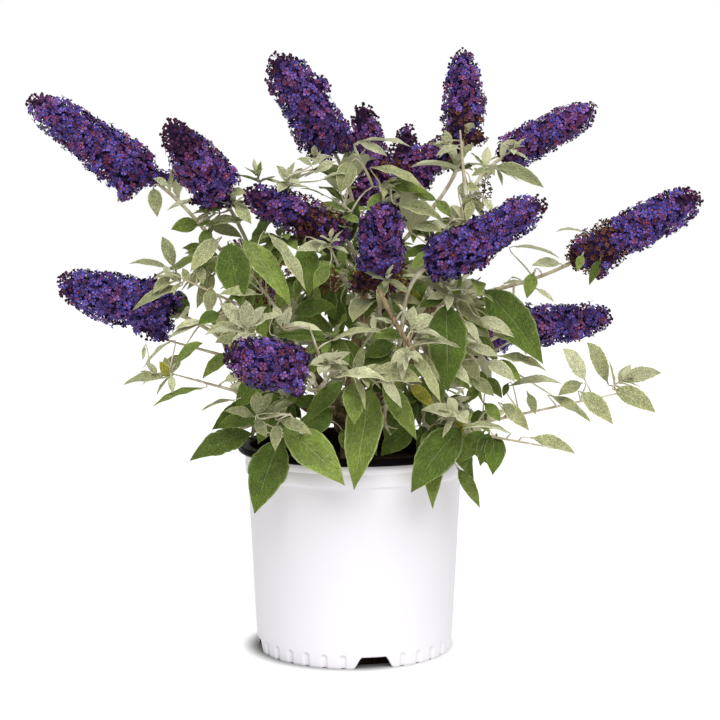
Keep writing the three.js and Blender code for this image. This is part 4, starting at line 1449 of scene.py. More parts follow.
def clear_of_spires(points, spires, own):
    for shoot in spires:
        axis = np.array(shoot.ahead)
        offset = points - np.array(shoot.foot)
        along = offset @ axis
        away = np.linalg.norm(offset - along[:, None] * axis, axis=1)
        whose = "own" if shoot is own else "other"
        room = shoot.girth / 2 * SPIRE_ROOM[whose]
        start = SPIRE_ROOM[whose + "_foot"]
        if np.any((along > start) & (along < shoot.length) & (away < room)):
            return False
    return True


def before_sky(points):
    """Whether any point stands in a clearing of the crown, as seen from the front."""
    for across, height, wide, tall in CLEARINGS:
        if np.any(np.hypot((points[:, 0] - across) / wide, (points[:, 2] - height) / tall) < 1):
            return True
    return False


class Plant:
    """Everything that has grown, sorted into leaves and twigs."""

    def __init__(self):
        self.shoots = read_shoots()
        self.spires = [shoot for shoot in self.shoots if shoot.flowers]
        self.leaves = []
        self.twigs = []
        self.show()
        self.front = np.array([leaf_spine(leaf, 5)[2] for leaf in self.leaves])
        self.front_room = np.array([leaf.length * CROWDING for leaf in self.leaves])
        for shoot in self.shoots:
            for part in growth(shoot):
                self.keep(part, shoot)
        self.add_sprigs(BACK_SPRIGS)

    def add_sprigs(self, table):
        stems = np.concatenate([shoot.spine for shoot in self.shoots])
        for tint, rows in table.items():
            for row in rows:
                twig = sprig(row, tint, stems)
                self.twigs.append(twig)
                self.leaves += twig.leaves
        return stems

    def show(self):
        """The sprigs and leaves that stand in front of the rest."""
        stems = self.add_sprigs(SPRIGS)
        stems = np.concatenate([stems, *[np.array(twig.path) for twig in self.twigs]])
        for foot, bearing, pitch, reach, _ in OLD_CLUSTERS:
            foot, ahead = Vector(foot), heading(bearing, pitch)
            stalk = twig_to(foot, ahead, stems, 1.2)
            self.twigs.append(Twig(stalk.path + [foot + ahead * reach], stalk.thick, []))
        for row in FRONT_STEMS:
            self.twigs.append(front_stem(row))
        for plane, forward, tint, rows in FRONT_LEAVES:
            for row in rows:
                leaf = front_leaf(plane, forward, tint, row)
                self.leaves.append(leaf)
                self.twigs.append(twig_to(leaf.root, leaf.direction, stems, 1.0))

    def hides(self, point):
        """Whether a leaf at a point would cover one of those in front."""
        offset = self.front - np.array(point)
        close = np.hypot(offset[:, 0], offset[:, 2]) < self.front_room
        return bool(np.any((offset[:, 1] > -BEHIND) & close))

    def fits(self, leaf, shoot):
        points = leaf_spine(leaf, 9)[2:]
        middle = leaf.root + leaf.direction * leaf.length * 0.6
        if leaf.length > LARGE and not in_own_space(middle, shoot, self.shoots):
            return False
        if before_sky(points[2:]) or self.hides(middle):
            return False
        return clear_of_pot(points) and clear_of_spires(points, self.spires, shoot)

    def keep(self, part, shoot):
        if isinstance(part, Leaf):
            if self.fits(part, shoot):
                self.leaves.append(part)
            return
        middle, end = part.path[0].lerp(part.path[-1], 0.7), part.path[-1]
        if not in_own_space(middle, shoot, self.shoots) or before_sky(np.array([middle, end])):
            return
        if not clear_of_spires(np.array([middle, end]), self.spires, shoot):
            return
        self.twigs.append(part)
        for leaf in part.leaves:
            self.keep(leaf, shoot)


# ---------------------------------------------------------------- pot


WALL = {
    "foot_zone": 20.0, "foot_rings": 21, "corner": 1.6, "rounding": 0.7,
    "heights": (40, 80, 120, 160, 190, 203), "line": 222.8,
}
# The pot's base, seen from below and from inside: radii and heights of its steps.
BASE = {"middle": 30, "plate": 94, "ring": 97, "ceiling": 14.0, "plate_top": 3.0, "ring_top": 16.0}


def wall_radius(height):
    return POT["foot"] + (POT["brow"] - POT["step_depth"] - POT["foot"]) * height / POT["height"]


def inner_radius(height):
    return wall_radius(height) - POT["wall"]


def arc_from(bearings, centre, radius):
    """How far each bearing is from a centre bearing, measured round the wall."""
    turn = (bearings - math.radians(centre) + math.pi) % math.tau - math.pi
    return np.abs(turn) * radius


def soft_step(value):
    value = np.clip(value, 0, 1)
    return value * value * (3 - 2 * value)


def foot_edge(bearings):
    """Height of the wall's lower edge, which rises over each drainage notch."""
    edge = np.zeros_like(bearings)
    slope = (NOTCH["foot"] - NOTCH["head"]) / 2
    for side in range(NOTCH["count"]):
        away = arc_from(bearings, NOTCH["first"] + 360 / NOTCH["count"] * side, POT["foot"])
        edge = np.maximum(edge, NOTCH["height"] * soft_step((NOTCH["foot"] / 2 - away) / slope))
    return edge


def flute_depth(bearings, height):
    """Depth of the short round-headed grooves pressed into the foot of the wall."""
    depth = np.zeros_like(bearings)
    radius = FLUTE["radius"]
    above = np.maximum(height - (FLUTE["height"] - radius), 0)
    for side in range(NOTCH["count"]):
        for i in range(FLUTE["per_side"]):
            bearing = NOTCH["first"] + 360 / NOTCH["count"] * side + FLUTE["first"] + FLUTE["pitch"] * i
            away = np.hypot(arc_from(bearings, bearing, POT["foot"]), above)
            depth = np.maximum(depth, FLUTE["deep"] * soft_step((radius - away) / (radius * 0.55)))
    return depth


def wall_rings(settings, bearings):
    """The outside of the wall, from its foot to its brow."""
    edge = foot_edge(bearings)
    rings = []
    for share in np.linspace(0, 1, WALL["foot_rings"]):
        height = edge + (WALL["foot_zone"] - edge) * share
        rounding = WALL["rounding"] * np.clip(1 - (height - edge) / WALL["corner"], 0, 1) ** 2
        rings.append((wall_radius(height) - rounding - flute_depth(bearings, height), height))
    for height in (*WALL["heights"], POT["step"] - 0.5):
        rings.append((wall_radius(height), height))
    brow = POT["brow"] - 0.5
    rings += [(wall_radius(POT["step"]) + 0.2, POT["step"] - 0.1), (brow - 0.6, POT["step"] + 0.5)]
    rings += [(brow, POT["step"] + 1.4), (brow + 0.1, 215)]
    for offset, share in ((-1.2, 0), (-0.5, 0.6), (0, 1), (0.5, 0.6), (1.2, 0)):
        rings.append((brow + 0.2 - share * settings.line_depth / MM, WALL["line"] + offset))
    rings += [(POT["brow"], 230.8), (POT["brow"] - 0.6, POT["height"])]
    return rings


def pot_mesh(settings):
    bearings = np.linspace(0, math.tau, settings.facets, endpoint=False)
    edge = foot_edge(bearings)
    inside = POT["foot"] - POT["wall"]
    ceiling = BASE["ceiling"]
    under = [(BASE["middle"], 0), (BASE["plate"], 0), (BASE["ring"], ceiling), (inside - 0.4, ceiling)]
    under += [(inside, edge + 0.3 * (ceiling - edge)), (inside + 0.3, edge)]
    outside = wall_rings(settings, bearings)
    inner = [(inner_radius(height), height) for height in (POT["height"], 120, BASE["ring_top"])]
    inner += [(BASE["ring"], BASE["ring_top"]), (BASE["plate"] + 1, BASE["plate_top"])]
    inner.append((BASE["middle"], BASE["plate_top"]))
    rings = under + outside + inner
    points, faces = ringed(rings, bearings)
    # The pot's inside is black plastic. The underside and the channel behind the notches get the same black:
    # painted shade, where little light reaches under the pot.
    marks = []
    for ring in range(len(rings) - 1):
        dark = ring < len(under) - 1 or ring >= len(under) + len(outside)
        marks += [int(dark)] * settings.facets
    return mesh_of("pot_wall", points, faces, marks + [1, 1], sharp=50)


def rim_mesh():
    """The rolled rim and the lining that runs down from it, as one closed ring."""
    bearings = np.linspace(0, math.tau, 360, endpoint=False)
    lining = inner_radius(POT["height"]) - GAP
    inner = lining - RIM["lining"]
    low = 190.0
    low_lining = inner_radius(low) - GAP
    top, radius, bottom = RIM["top"], RIM["radius"], RIM["bottom"]
    profile = [
        (low_lining - RIM["lining"], low), (low_lining, low), (lining, bottom), (132.4, bottom),
        (134.6, bottom + 0.3), (136.0, bottom + 1.5), (radius, bottom + 3.0), (radius - 0.1, bottom + 4.3),
        (135.6, bottom + 4.9), (135.7, bottom + 5.6), (135.6, top - 1.6), (134.6, top - 0.5),
        (133.0, top), (131.0, top - 0.2), (129.2, top - 1.0), (127.0, top - 1.1), (125.2, top - 0.3),
        (124.0, top - 0.1), (inner + 0.5, top - 0.8), (inner, top - 2.2), (low_lining - RIM["lining"], low),
    ]
    made = mesh_of("pot_rim_roll", *ringed(profile, bearings, closed_ends=False), sharp=60)
    body = bmesh.new()
    body.from_mesh(made)
    bmesh.ops.remove_doubles(body, verts=body.verts, dist=1e-6)
    body.to_mesh(made)
    body.free()
    return made


# The chips are mere specks: their size is in millimetres too. A spot bears one by this chance.
CHIP = {"size": (0.009, 0.0045, 0.0022), "seed": 3, "chance": 0.82}


def soil_height(x, y, reach, radius):
    coarse = noise.fractal(Vector((x, y, 3.1)) * 0.05, 1.0, 2.0, 4)
    fine = noise.noise(Vector((x, y, 9.7)) * 0.35)
    dome = SOIL["dome"] * (1 - (reach / radius) ** 2)
    return SOIL["top"] - SOIL["dome"] + dome - 1.2 + coarse * 1.7 + fine * 0.5


def soil_rings(radius, least, count, bearings):
    """Rings of the mix's uneven top, from its edge inwards."""
    rings = []
    for reach in np.linspace(radius, least, count):
        heights = [soil_height(reach * math.cos(b), reach * math.sin(b), reach, radius) for b in bearings]
        rings.append((reach, np.array(heights)))
    return rings


def soil_mesh():
    """The potting mix: a crumbled top over a plain body that fills the pot."""
    bearings = np.linspace(0, math.tau, 240, endpoint=False)
    radius = inner_radius(SOIL["top"] - 4) - RIM["lining"] - 2 * GAP
    body = [(20, 4.0), (94, 4.0), (96, 17.0), (inner_radius(18) - RIM["lining"] - 2 * GAP, 17.0)]
    body.append((radius, SOIL["top"] - 6))
    rings = body + soil_rings(radius, 3, 60, bearings)
    return mesh_of("soil_body", *ringed(rings, bearings), sharp=60)


def soil_top_mesh():
    """Only the upper face of the mix, which chips are strewn on."""
    bearings = np.linspace(0, math.tau, 72, endpoint=False)
    radius = inner_radius(SOIL["top"] - 4) - RIM["lining"] - 5
    points, faces = ringed(soil_rings(radius, 22, 12, bearings), bearings, closed_ends=False)
    edges = [np.full(len(points), share) for share in (0.0, CHIP["chance"], 1.0)]
    return with_shares(mesh_of("soil_top", points, faces), edges)


def with_shares(mesh, edges):
    """Stores rising attributes share_0, share_1 and so on, between which a kind is chosen."""
    for i, values in enumerate(edges):
        stored = mesh.attributes.new(f"share_{i}", "FLOAT", "POINT")
        stored.data.foreach_set("value", values)
    return mesh


def chip_shape(name, size, seed):
    """A splinter of bark: a box with uneven corners."""
    dice = Dice(seed)
    corners = [(x, y, z) for x in (-1, 1) for y in (-1, 1) for z in (-1, 1)]
    points = [[c * s * dice.between(0.55, 1.0) / 2 for c, s in zip(corner, size)] for corner in corners]
    faces = [(0, 1, 3, 2), (4, 6, 7, 5), (0, 4, 5, 1), (2, 3, 7, 6), (0, 2, 6, 4), (1, 5, 7, 3)]
    mesh = mesh_of(name, points, faces)
    mesh.shade_flat()
    return bpy.data.objects.new(name, mesh)


# ---------------------------------------------------------------- wood


# Where in the head a bough starts, how it widens there, its knuckle's share and the smoothing.
WOOD = {"inset": 0.4, "flare": 1.25, "knuckle": 0.95, "soften": (0.6, 3)}


def wood_mesh(settings):
    """Trunk, head and boughs, fused, with furrows that run along them."""
    heap = Heap()
    foot = Vector((0, 0, SOIL["top"] - 5))
    stations = [i / 8 for i in range(9)]
    radii = [TRUNK["neck"] + (TRUNK["foot"] - TRUNK["neck"]) * (1 - u) ** 3 for u in stations]
    heap.add(*tube([foot.lerp(HEAD, u) for u in stations], radii, 20))
    add_ball(heap, HEAD, TRUNK["head"])
    for name in BOUGHS:
        curve = bough_curve(name)
        steps = [i / 12 for i in range(13)]
        path = [HEAD.lerp(curve.at(0), WOOD["inset"])] + [curve.at(u) for u in steps]
        thick = [BOUGH["start"] + (BOUGH["end"] - BOUGH["start"]) * u for u in steps]
        heap.add(*tube(path, [thick[0] * WOOD["flare"]] + thick, 12))
        add_ball(heap, curve.at(1), BOUGH["knuckle"] * WOOD["knuckle"])
    bare = front_stem(WOODY_STEM)
    heap.add(*tube(bare.path, [bare.thick] * len(bare.path), 10))
    rough = bpy.data.objects.new("wood_rough", heap.mesh("wood_rough"))
    bpy.context.scene.collection.objects.link(rough)
    remesh = rough.modifiers.new("Fuse", "REMESH")
    remesh.mode = "VOXEL"
    remesh.voxel_size = settings.voxel
    remesh.use_smooth_shade = True
    soften = rough.modifiers.new("Soften", "SMOOTH")
    soften.factor, soften.iterations = WOOD["soften"]
    graph = bpy.context.evaluated_depsgraph_get()
    made = bpy.data.meshes.new_from_object(rough.evaluated_get(graph), depsgraph=graph)
    bpy.data.objects.remove(rough)
    made.name = "old_wood"
    furrow(made, settings.relief)
    return made


def add_ball(heap, centre, radius):
    ball = bmesh.new()
    bmesh.ops.create_icosphere(ball, subdivisions=3, radius=radius)
    points = [vertex.co + centre for vertex in ball.verts]
    heap.add(points, [[vertex.index for vertex in face.verts] for face in ball.faces])
    ball.free()


def furrow(mesh, depth):
    """Moves each point along its normal by ridges that are long upwards and narrow across."""
    normals = [vertex.normal.copy() for vertex in mesh.vertices]
    moved = []
    for vertex, normal in zip(mesh.vertices, normals):
        x, y, z = vertex.co / MM
        ridge = noise.fractal(Vector((x * 0.34, y * 0.34, z * 0.06)), 1.0, 2.1, 4)
        knot = noise.noise(Vector((x, y, z)) * 0.09)
        moved.extend(vertex.co + normal * depth * (ridge * 0.9 + knot * 0.9))
    mesh.vertices.foreach_set("co", moved)
    mesh.shade_smooth()


# ---------------------------------------------------------------- stems


class Threads:
    """Chains of edges, each point with its thickness, for the stem sweep."""

    def __init__(self):
        self.points = []
        self.edges = []
        self.thick = []

    def add(self, points, radii):
        first = len(self.points)
        self.points += [tuple(Vector(p) * MM) for p in points]
        self.thick += [radius * MM for radius in radii]
        self.edges += [(first + i, first + i + 1) for i in range(len(points) - 1)]

    def mesh(self, name):
        made = bpy.data.meshes.new(name)
        made.from_pydata(self.points, self.edges, [])
        stored = made.attributes.new("thickness", "FLOAT", "POINT")
        stored.data.foreach_set("value", self.thick)
        return made


SLIM = 0.9  # a stem's share of the source's plain one, between its swollen joints
SWELL = {"reach": 3.2, "share": 0.3}  # the joints where leaves stand


def stem_threads(plant):
    threads = Threads()
    for shoot in plant.shoots:
        nodes = np.arange(LEAF["first_node"], shoot.stem.length, LEAF["pitch"])
        count = max(8, int(shoot.stem.length / 5))
        points, radii = [shoot.centre], [STEM["start"] * 1.3]
        for i in range(count + 1):
            u = i / count
            swell = float(np.sum(np.exp(-((u * shoot.stem.length - nodes) / SWELL["reach"]) ** 2)))
            points.append(shoot.stem.at(u))
            radius = (STEM["start"] + (STEM["end"] - STEM["start"]) * u) * SLIM
            radii.append(radius * (1 + SWELL["share"] * min(swell, 1)))
        reach = shoot.length * (0.9 if shoot.flowers else 1.0)
        end, tip = STEM["end"] * SLIM, STEM["tip"] * 0.6
        for i in range(1, 7):
            points.append(shoot.foot + shoot.ahead * reach * i / 6)
            radii.append(end + (tip - end) * i / 6)
        threads.add(points, radii)
    return threads


def twig_threads(plant):
    threads = Threads()
    for twig in plant.twigs:
        last = len(twig.path) - 1
        threads.add(twig.path, [twig.thick * (1.2 - 0.7 * i / last) for i in range(last + 1)])
    return threads


# ---------------------------------------------------------------- leaves


def leaf_outline(t):
    """Half width of a blade along its length, as a share of the widest."""
    rise, fall = 0.78, 1.14
    widest = rise / (rise + fall)
    top = widest ** rise * (1 - widest) ** fall
    return np.clip(t, 0, 1) ** rise * np.clip(1 - t, 0, 1) ** fall / top


LEAF_GRIDS = ((60, 20, 7), (26, 14, 5), (0, 10, 5))  # least length, rows and ribs of a blade


def leaf_grid(leaf, settings, dice):
    """Points of a leaf's upper and lower face, its faces, their sides and its own map."""
    rows, ribs = next((rows, ribs) for least, rows, ribs in LEAF_GRIDS if leaf.length >= least)
    across = np.linspace(-1, 1, ribs)
    spine = leaf_spine(leaf, rows + 1)
    u = np.linspace(0, 1, rows + 1)
    ahead = np.gradient(spine, axis=0)
    ahead /= np.linalg.norm(ahead, axis=1)[:, None]
    side = np.cross(np.array(leaf.face), np.array(leaf.direction))
    side = side - ahead * (ahead @ side)[:, None]
    side /= np.linalg.norm(side, axis=1)[:, None]
    normal = np.cross(ahead, side)
    twist = math.radians(dice.between(-22, 22)) * u[:, None]
    side, normal = (
        side * np.cos(twist) + normal * np.sin(twist),
        normal * np.cos(twist) - side * np.sin(twist),
    )

    stalk = 0.06
    slender = leaf.slender * dice.between(0.82, 1.08)
    half = leaf_outline((u - stalk) / (1 - stalk)) * leaf.length * slender / 2
    uneven = 0.05 * min(leaf.length / 60, 1)
    ragged = np.array([dice.between(1 - uneven, 1 + uneven) for _ in u])
    half = np.maximum(half * ragged, np.where(u < 0.1, 0.9, 0.12))
    fold = math.tan(settings.fold * dice.between(0.3, 1.5))
    wave = dice.between(0.006, 0.028) * leaf.length * min(leaf.length / 60, 1)
    phase, waves = dice.roll() * math.tau, dice.between(1.5, 3)
    flat = side[:, None, :] * (across[None, :, None] * half[:, None, None])
    lift = np.abs(across)[None, :] * half[:, None] * fold
    lift = lift - (across[None, :] ** 4) * half[:, None] * fold * 0.45
    ripple = np.sin(u * waves * math.tau + phase)[:, None] * across[None, :] ** 2 * np.sign(across)[None, :]
    lift = lift + ripple * wave * np.minimum(half / (half.max() + 1e-9), 1)[:, None]
    upper = spine[:, None, :] + flat + normal[:, None, :] * lift[:, :, None]

    rib = (1 - np.abs(across))[None, :] ** 3
    depth = settings.thick / MM * 0.6 + rib * np.where(u < 0.12, 1.4, 0.9 * (1 - u))[:, None]
    lower = upper - normal[:, None, :] * depth[:, :, None]
    return upper, lower, u, across


def add_leaf(heap, leaf, settings, dice):
    upper, lower, u, across = leaf_grid(leaf, settings, dice)
    rows, columns = len(u), len(across)
    index = np.arange(rows * columns).reshape(rows, columns)
    under = index.copy()
    inner = rows * columns + np.arange((rows - 2) * (columns - 2)).reshape(rows - 2, columns - 2)
    under[1:-1, 1:-1] = inner
    top = np.stack([index[:-1, :-1], index[1:, :-1], index[1:, 1:], index[:-1, 1:]], -1).reshape(-1, 4)
    low = np.stack([under[:-1, :-1], under[:-1, 1:], under[1:, 1:], under[1:, :-1]], -1).reshape(-1, 4)
    points = np.concatenate([upper.reshape(-1, 3), lower[1:-1, 1:-1].reshape(-1, 3)])
    grid = np.stack(np.meshgrid(u, across * 0.5 + 0.5, indexing="ij"), -1)
    uvs = np.concatenate([grid.reshape(-1, 2), grid[1:-1, 1:-1].reshape(-1, 2)])
    faces = np.concatenate([top, low])
    marks = [0] * len(top) + [1] * len(low)
    heap.add(points, faces, marks, uvs, tone=dice.roll())


# How much pale down covers a leaf of each tint.
FELT = {"deep": 0.1, "green": 0.25, "grey": 0.55, "silver": 0.8, "yellow": 0.2}
# The share of each of TINTS among leaves of at least a length.
TINT_SHARES = (
    (95, (0.55, 0.34, 0.08, 0.0, 0.03)),
    (66, (0.25, 0.42, 0.27, 0.04, 0.02)),
    (44, (0.05, 0.3, 0.42, 0.2, 0.03)),
    (28, (0.0, 0.14, 0.44, 0.4, 0.02)),
    (0, (0.0, 0.04, 0.3, 0.66, 0.0)),
)


def tint_of(leaf, dice):
    """Young leaves are silver, grown ones green, and the largest deep green."""
    if leaf.tint:
        return leaf.tint
    inside = leaf.root.xy.length < INSIDE["reach"] and leaf.root.z < INSIDE["height"]
    old = inside or leaf.root.z < INSIDE["skirt"]
    row = next(row for least, row in TINT_SHARES if leaf.length + INSIDE["older"] * old >= least)
    value = dice.roll()
    for tint, share in zip(TINTS, row):
        value -= share
        if value < 0:
            return tint
    return "grey"


def leaf_heaps(plant, settings):
    heaps = {tint: Heap() for tint in TINTS}
    dice = Dice(seed_of("leaves"))
    for leaf in plant.leaves:
        add_leaf(heaps[tint_of(leaf, dice)], leaf, settings, dice)
    return heaps


# ---------------------------------------------------------------- blossom

# How far along a spire, and its girth there as a share of the widest.
SPIRE_SHAPE = (
    (0, 0.4), (0.06, 0.8), (0.16, 1.0), (0.45, 0.99), (0.66, 0.9), (0.82, 0.74), (0.93, 0.5), (1, 0.14),
)
WHORL = 11.0
CORE_SCALE, FLORET_SCALE = 0.66, 0.9
OLD_AGE = (0, 2.0, 0)  # of a withered head: share of buds, of spent florets and of blue ones

# Large side lobes of some spires: how far along, bearing, pitch, length, girth and spent share.
SIDE_LOBES = {
    "spire_left_far": ((8, 30, -10, 44, 20, 0), (26, -100, -60, 44, 24, 0)),
    "spire_left_near": ((16, -140, -75, 30, 24, 0), (8, -20, -60, 26, 24, 0)),
    "spire_centre_high": ((76, 10, 30, 36, 30, 0), (20, 10, -20, 40, 24, 0.2)),
    "spire_centre_low": ((0, 30, 25, 18, 28, 0), (10, -20, -60, 26, 22, 0.5)),
    "spire_front_right": ((66, -90, -75, 34, 22, 0),),
    "spire_front_low": ((12, -60, -55, 34, 20, 0),),
    "spire_left_low": ((8, 10, 35, 28, 18, 0), (10, -90, -80, 36, 32, 0), (28, -90, -75, 34, 34, 0)),
    "spire_front_centre": ((2, 185, -15, 34, 18, 2), (2, -10, -15, 32, 18, 2), (4, -80, -70, 26, 18, 2)),
    "spire_right_upright": ((6, 200, -5, 30, 18, 1), (6, -30, -10, 32, 18, 1)),
    "spire_right_far": ((36, -95, -70, 36, 26, 0.3), (52, -95, -65, 30, 26, 0)),
    "spire_back_dark": (
        (4, -150, -30, 52, 36, 0.2), (34, 175, -12, 36, 32, 0),
        (0, -30, -40, 44, 34, 0.2), (56, 175, 0, 38, 26, 0),
    ),
    "spire_back_slim": ((6, -60, -50, 44, 30, 0.3),),
    "spire_back_leaning": ((26, -70, -50, 36, 26, 0.3),),
}

# Withered flower heads that stand free: foot, bearing, pitch, length and girth.
OLD_CLUSTERS = (
    ((-84, -70, 434), -80, 60, 30, 22),
    ((-98, -80, 414), -110, 50, 28, 20),
    ((-26, -84, 424), -95, 62, 28, 22),
    ((4, -92, 430), -60, 50, 26, 20),
    ((150, 30, 518), 60, 75, 34, 16),
)


def spire_radius(u):
    places, girths = zip(*SPIRE_SHAPE)
    return np.interp(u, places, girths)


class Envelope:
    """The lumpy surfaces that florets stand on, with the share of each kind at each point."""

    def __init__(self, scale):
        self.scale = scale
        self.points = []
        self.faces = []
        self.shares = []
        self.count = 0

    def add(self, foot, ahead, reach, girth, age_and_shade, dice, taper=(1, 1)):
        rows, columns = max(6, int(reach / 3.5)), (32 if girth > 24 else 14)
        axis = np.array(ahead)
        side = np.cross(np.array(UP), axis)
        side /= np.linalg.norm(side)
        other = np.cross(axis, side)
        u = np.linspace(0, 1, rows)[:, None]
        turn = np.linspace(0, math.tau, columns, endpoint=False)[None, :]
        beat = np.cos(math.tau * u * reach / WHORL + np.cos(turn * 2) * 0.9)
        lumps = np.cos(turn * 4 + dice.roll() * 6 + 1.6 * np.sin(u * 9))
        sway = 1 + 0.08 * np.sin(turn + dice.roll() * 6) * np.sin(u * 5 + dice.roll() * 6)
        wide = girth / 2 * (taper[0] + (taper[1] - taper[0]) * u)
        radius = wide * self.scale * spire_radius(u) * (1 + 0.1 * beat + 0.12 * lumps) * sway
        tip_room = (1 - self.scale) * girth * 0.3
        points = np.array(foot) + axis * (u * (reach - tip_room))[..., None]
        around = side * np.cos(turn)[..., None] + other * np.sin(turn)[..., None]
        points = points + around * radius[..., None]
        index = np.arange(rows * columns).reshape(rows, columns) + self.count
        after = np.roll(index, -1, axis=1)
        faces = np.stack([index[:-1], after[:-1], after[1:], index[1:]], -1).reshape(-1, 4)
        self.points.append(points.reshape(-1, 3))
        self.faces += faces.tolist() + [index[0][::-1].tolist(), index[-1].tolist()]
        self.shares.append(kind_shares(age_and_shade, np.broadcast_to(u, (rows, columns)).ravel()))
        self.count += rows * columns

    def mesh(self):
        made = bpy.data.meshes.new("spire_surface")
        made.from_pydata((np.concatenate(self.points) * MM).tolist(), [], self.faces)
        made.shade_smooth()
        return with_shares(made, np.concatenate(self.shares).T)


def kind_shares(age_and_shade, u):
    """Rising edges between buds, spent, blue, violet and plum florets, for each point."""
    bud_zone, spent_zone, blue = age_and_shade
    wobble = 0.06 * np.sin(u * 40)
    bud = soft_step((u - (1 - bud_zone) + 0.12) / 0.24 + wobble) * 0.9 if bud_zone else u * 0
    most = min(0.8 * max(spent_zone, 1), 1)
    spent = soft_step((spent_zone - u) / 0.2 + 0.2) * most if spent_zone else u * 0
    spent = np.minimum(spent, 1 - bud)
    rest = 1 - bud - spent
    edges = [u * 0, bud, bud + spent, bud + spent + rest * blue]
    edges.append(edges[3] + rest * (1 - blue) * 0.62)
    edges.append(u * 0 + 1.01)
    return np.stack(edges, 1)


def blossom_surface(scale):
    """The envelope of every spire and of the side clusters round its foot."""
    envelope = Envelope(scale)
    for shoot in plant().spires:
        dice = Dice(seed_of(shoot.name) + 5)
        age_and_shade = SPIRE_AGE_AND_SHADE.get(shoot.name, USUAL_AGE)
        taper = SPIRE_TAPER.get(shoot.name, (1, 1))
        envelope.add(shoot.foot, shoot.ahead, shoot.length, shoot.girth, age_and_shade, dice, taper)
        turn = dice.roll() * math.pi
        for cluster in range(5):
            way = offshoot(shoot.ahead, turn + cluster * math.tau / 5, math.radians(dice.between(62, 100)))
            foot = shoot.foot + shoot.ahead * dice.between(4, 16)
            reach = shoot.girth * dice.between(0.42, 0.66)
            cluster_age = (0.1, age_and_shade[1] * 3, age_and_shade[2])
            envelope.add(foot, (way - UP * 0.15).normalized(), reach, dice.between(13, 18), cluster_age, dice)
        for along, bearing, pitch, reach, girth, spent in SIDE_LOBES.get(shoot.name, ()):
            foot = shoot.foot + shoot.ahead * along
            envelope.add(foot, heading(bearing, pitch), reach, girth, (0.05, spent, age_and_shade[2]), dice)
    for foot, bearing, pitch, reach, girth in OLD_CLUSTERS if scale > CORE_SCALE else ():
        dice = Dice(seed_of(f"old {foot[0]}"))
        envelope.add(foot, heading(bearing, pitch), reach, girth, OLD_AGE, dice)
    return envelope.mesh()


# Tube length in metres and curl of a floret, and height and width of a bud.
FLORET = {"open": (0.0045, 0.06), "spent": (0.004, 0.3), "shrunk": 0.62, "bud": (0.0065, 0.0046)}


def floret_mesh(span, tube_length, curl):
    """Four rounded lobes round a small throat, on a three-sided tube."""
    throat, reach = 0.1 * span, 0.5 * span
    outline = [
        (throat, -0.6, 0), (throat, 0.6, 0), (reach * 0.62, -0.66, 0.5), (reach * 0.62, 0.66, 0.5),
        (reach * 0.9, -0.42, 0.9), (reach * 0.9, 0.42, 0.9), (reach, 0, 1.0),
    ]
    points, faces, rays = [], [], []
    for lobe in range(4):
        first = len(points)
        for radius, off, rise in outline:
            turn = lobe * math.pi / 2 + off
            points.append((radius * math.cos(turn), radius * math.sin(turn), rise * curl * span))
            rays.append(radius / reach)
        for face in ((0, 2, 3, 1), (2, 4, 5, 3), (4, 6, 5)):
            faces.append([first + corner for corner in face])
    eyes = [0.0] * len(faces)
    first = len(points)
    for i in range(4):
        turn = i * math.pi / 2 + math.pi / 4
        points.append((throat * 0.9 * math.cos(turn), throat * 0.9 * math.sin(turn), 0.02 * span))
    faces.append([first, first + 1, first + 2, first + 3])
    eyes.append(1.0)
    first = len(points)
    for height, radius in ((-0.01 * span, throat * 1.1), (-tube_length, throat * 0.6)):
        for i in range(3):
            turn = i * math.tau / 3
            points.append((radius * math.cos(turn), radius * math.sin(turn), height))
    for i in range(3):
        faces.append([first + i, first + 3 + i, first + 3 + (i + 1) % 3, first + (i + 1) % 3])
        eyes.append(0.0)
    rays += [0.1] * (len(points) - len(rays))
    return shape_object("floret", points, faces, rays, eyes)


def shape_object(name, points, faces, rays, eyes):
    mesh = bpy.data.meshes.new(name)
    mesh.from_pydata(points, [], faces)
    mesh.attributes.new("ray", "FLOAT", "POINT").data.foreach_set("value", rays)
    mesh.attributes.new("eye", "FLOAT", "FACE").data.foreach_set("value", eyes)
    return bpy.data.objects.new(name, mesh)


def bud_object(height, width):
    """An unopened bud: a club on a thin stalk."""
    rows = [(0, 0.1), (0.5, 0.12), (0.62, 0.34), (0.82, 0.5), (0.95, 0.36)]
    points, faces = [], []
    for z, girth in rows:
        for i in range(4):
            turn, radius = i * math.pi / 2, girth * width
            points.append((radius * math.cos(turn), radius * math.sin(turn), (z - 0.5) * height))
    for row in range(len(rows) - 1):
        for i in range(4):
            a, b = row * 4 + i, row * 4 + (i + 1) % 4
            faces.append((a, b, b + 4, a + 4))
    faces.append((16, 17, 18, 19))
    return shape_object("bud", points, faces, [0.5] * len(points), [0.0] * len(faces))


# ---------------------------------------------------------------- operators

PLANT = {}


def plant():
    """The grown plant, which is worked out once."""
    if "grown" not in PLANT:
        PLANT["grown"] = Plant()
    return PLANT["grown"]


def nodes_like(*starts):
    return [name for name in frame["nodes"] if name.startswith(starts)]


class BUSH_OT_pot(bpy.types.Operator):
    """Build the pot's wall, with its notches and flutes, and its black rim and lining"""

    bl_idname = "bush.pot"
    bl_label = "Pot"

    def execute(self, context):
        settings = context.scene.bush_pot
        white = moulded_plastic(
            "white_plastic", settings.white, roughness=0.36, grain=0.00012, specular=0.5
        )
        black = moulded_plastic(
            "black_plastic", settings.black, roughness=0.28, grain=0.00006, specular=0.015,
            dust=shade(settings.soil, 1.3),
        )
        piece("pot_wall", pot_mesh(settings), [white, black], ["pot"])
        piece("pot_rim_roll", rim_mesh(), [black], ["pot_rim", "pot_lining"])
        return {"FINISHED"}


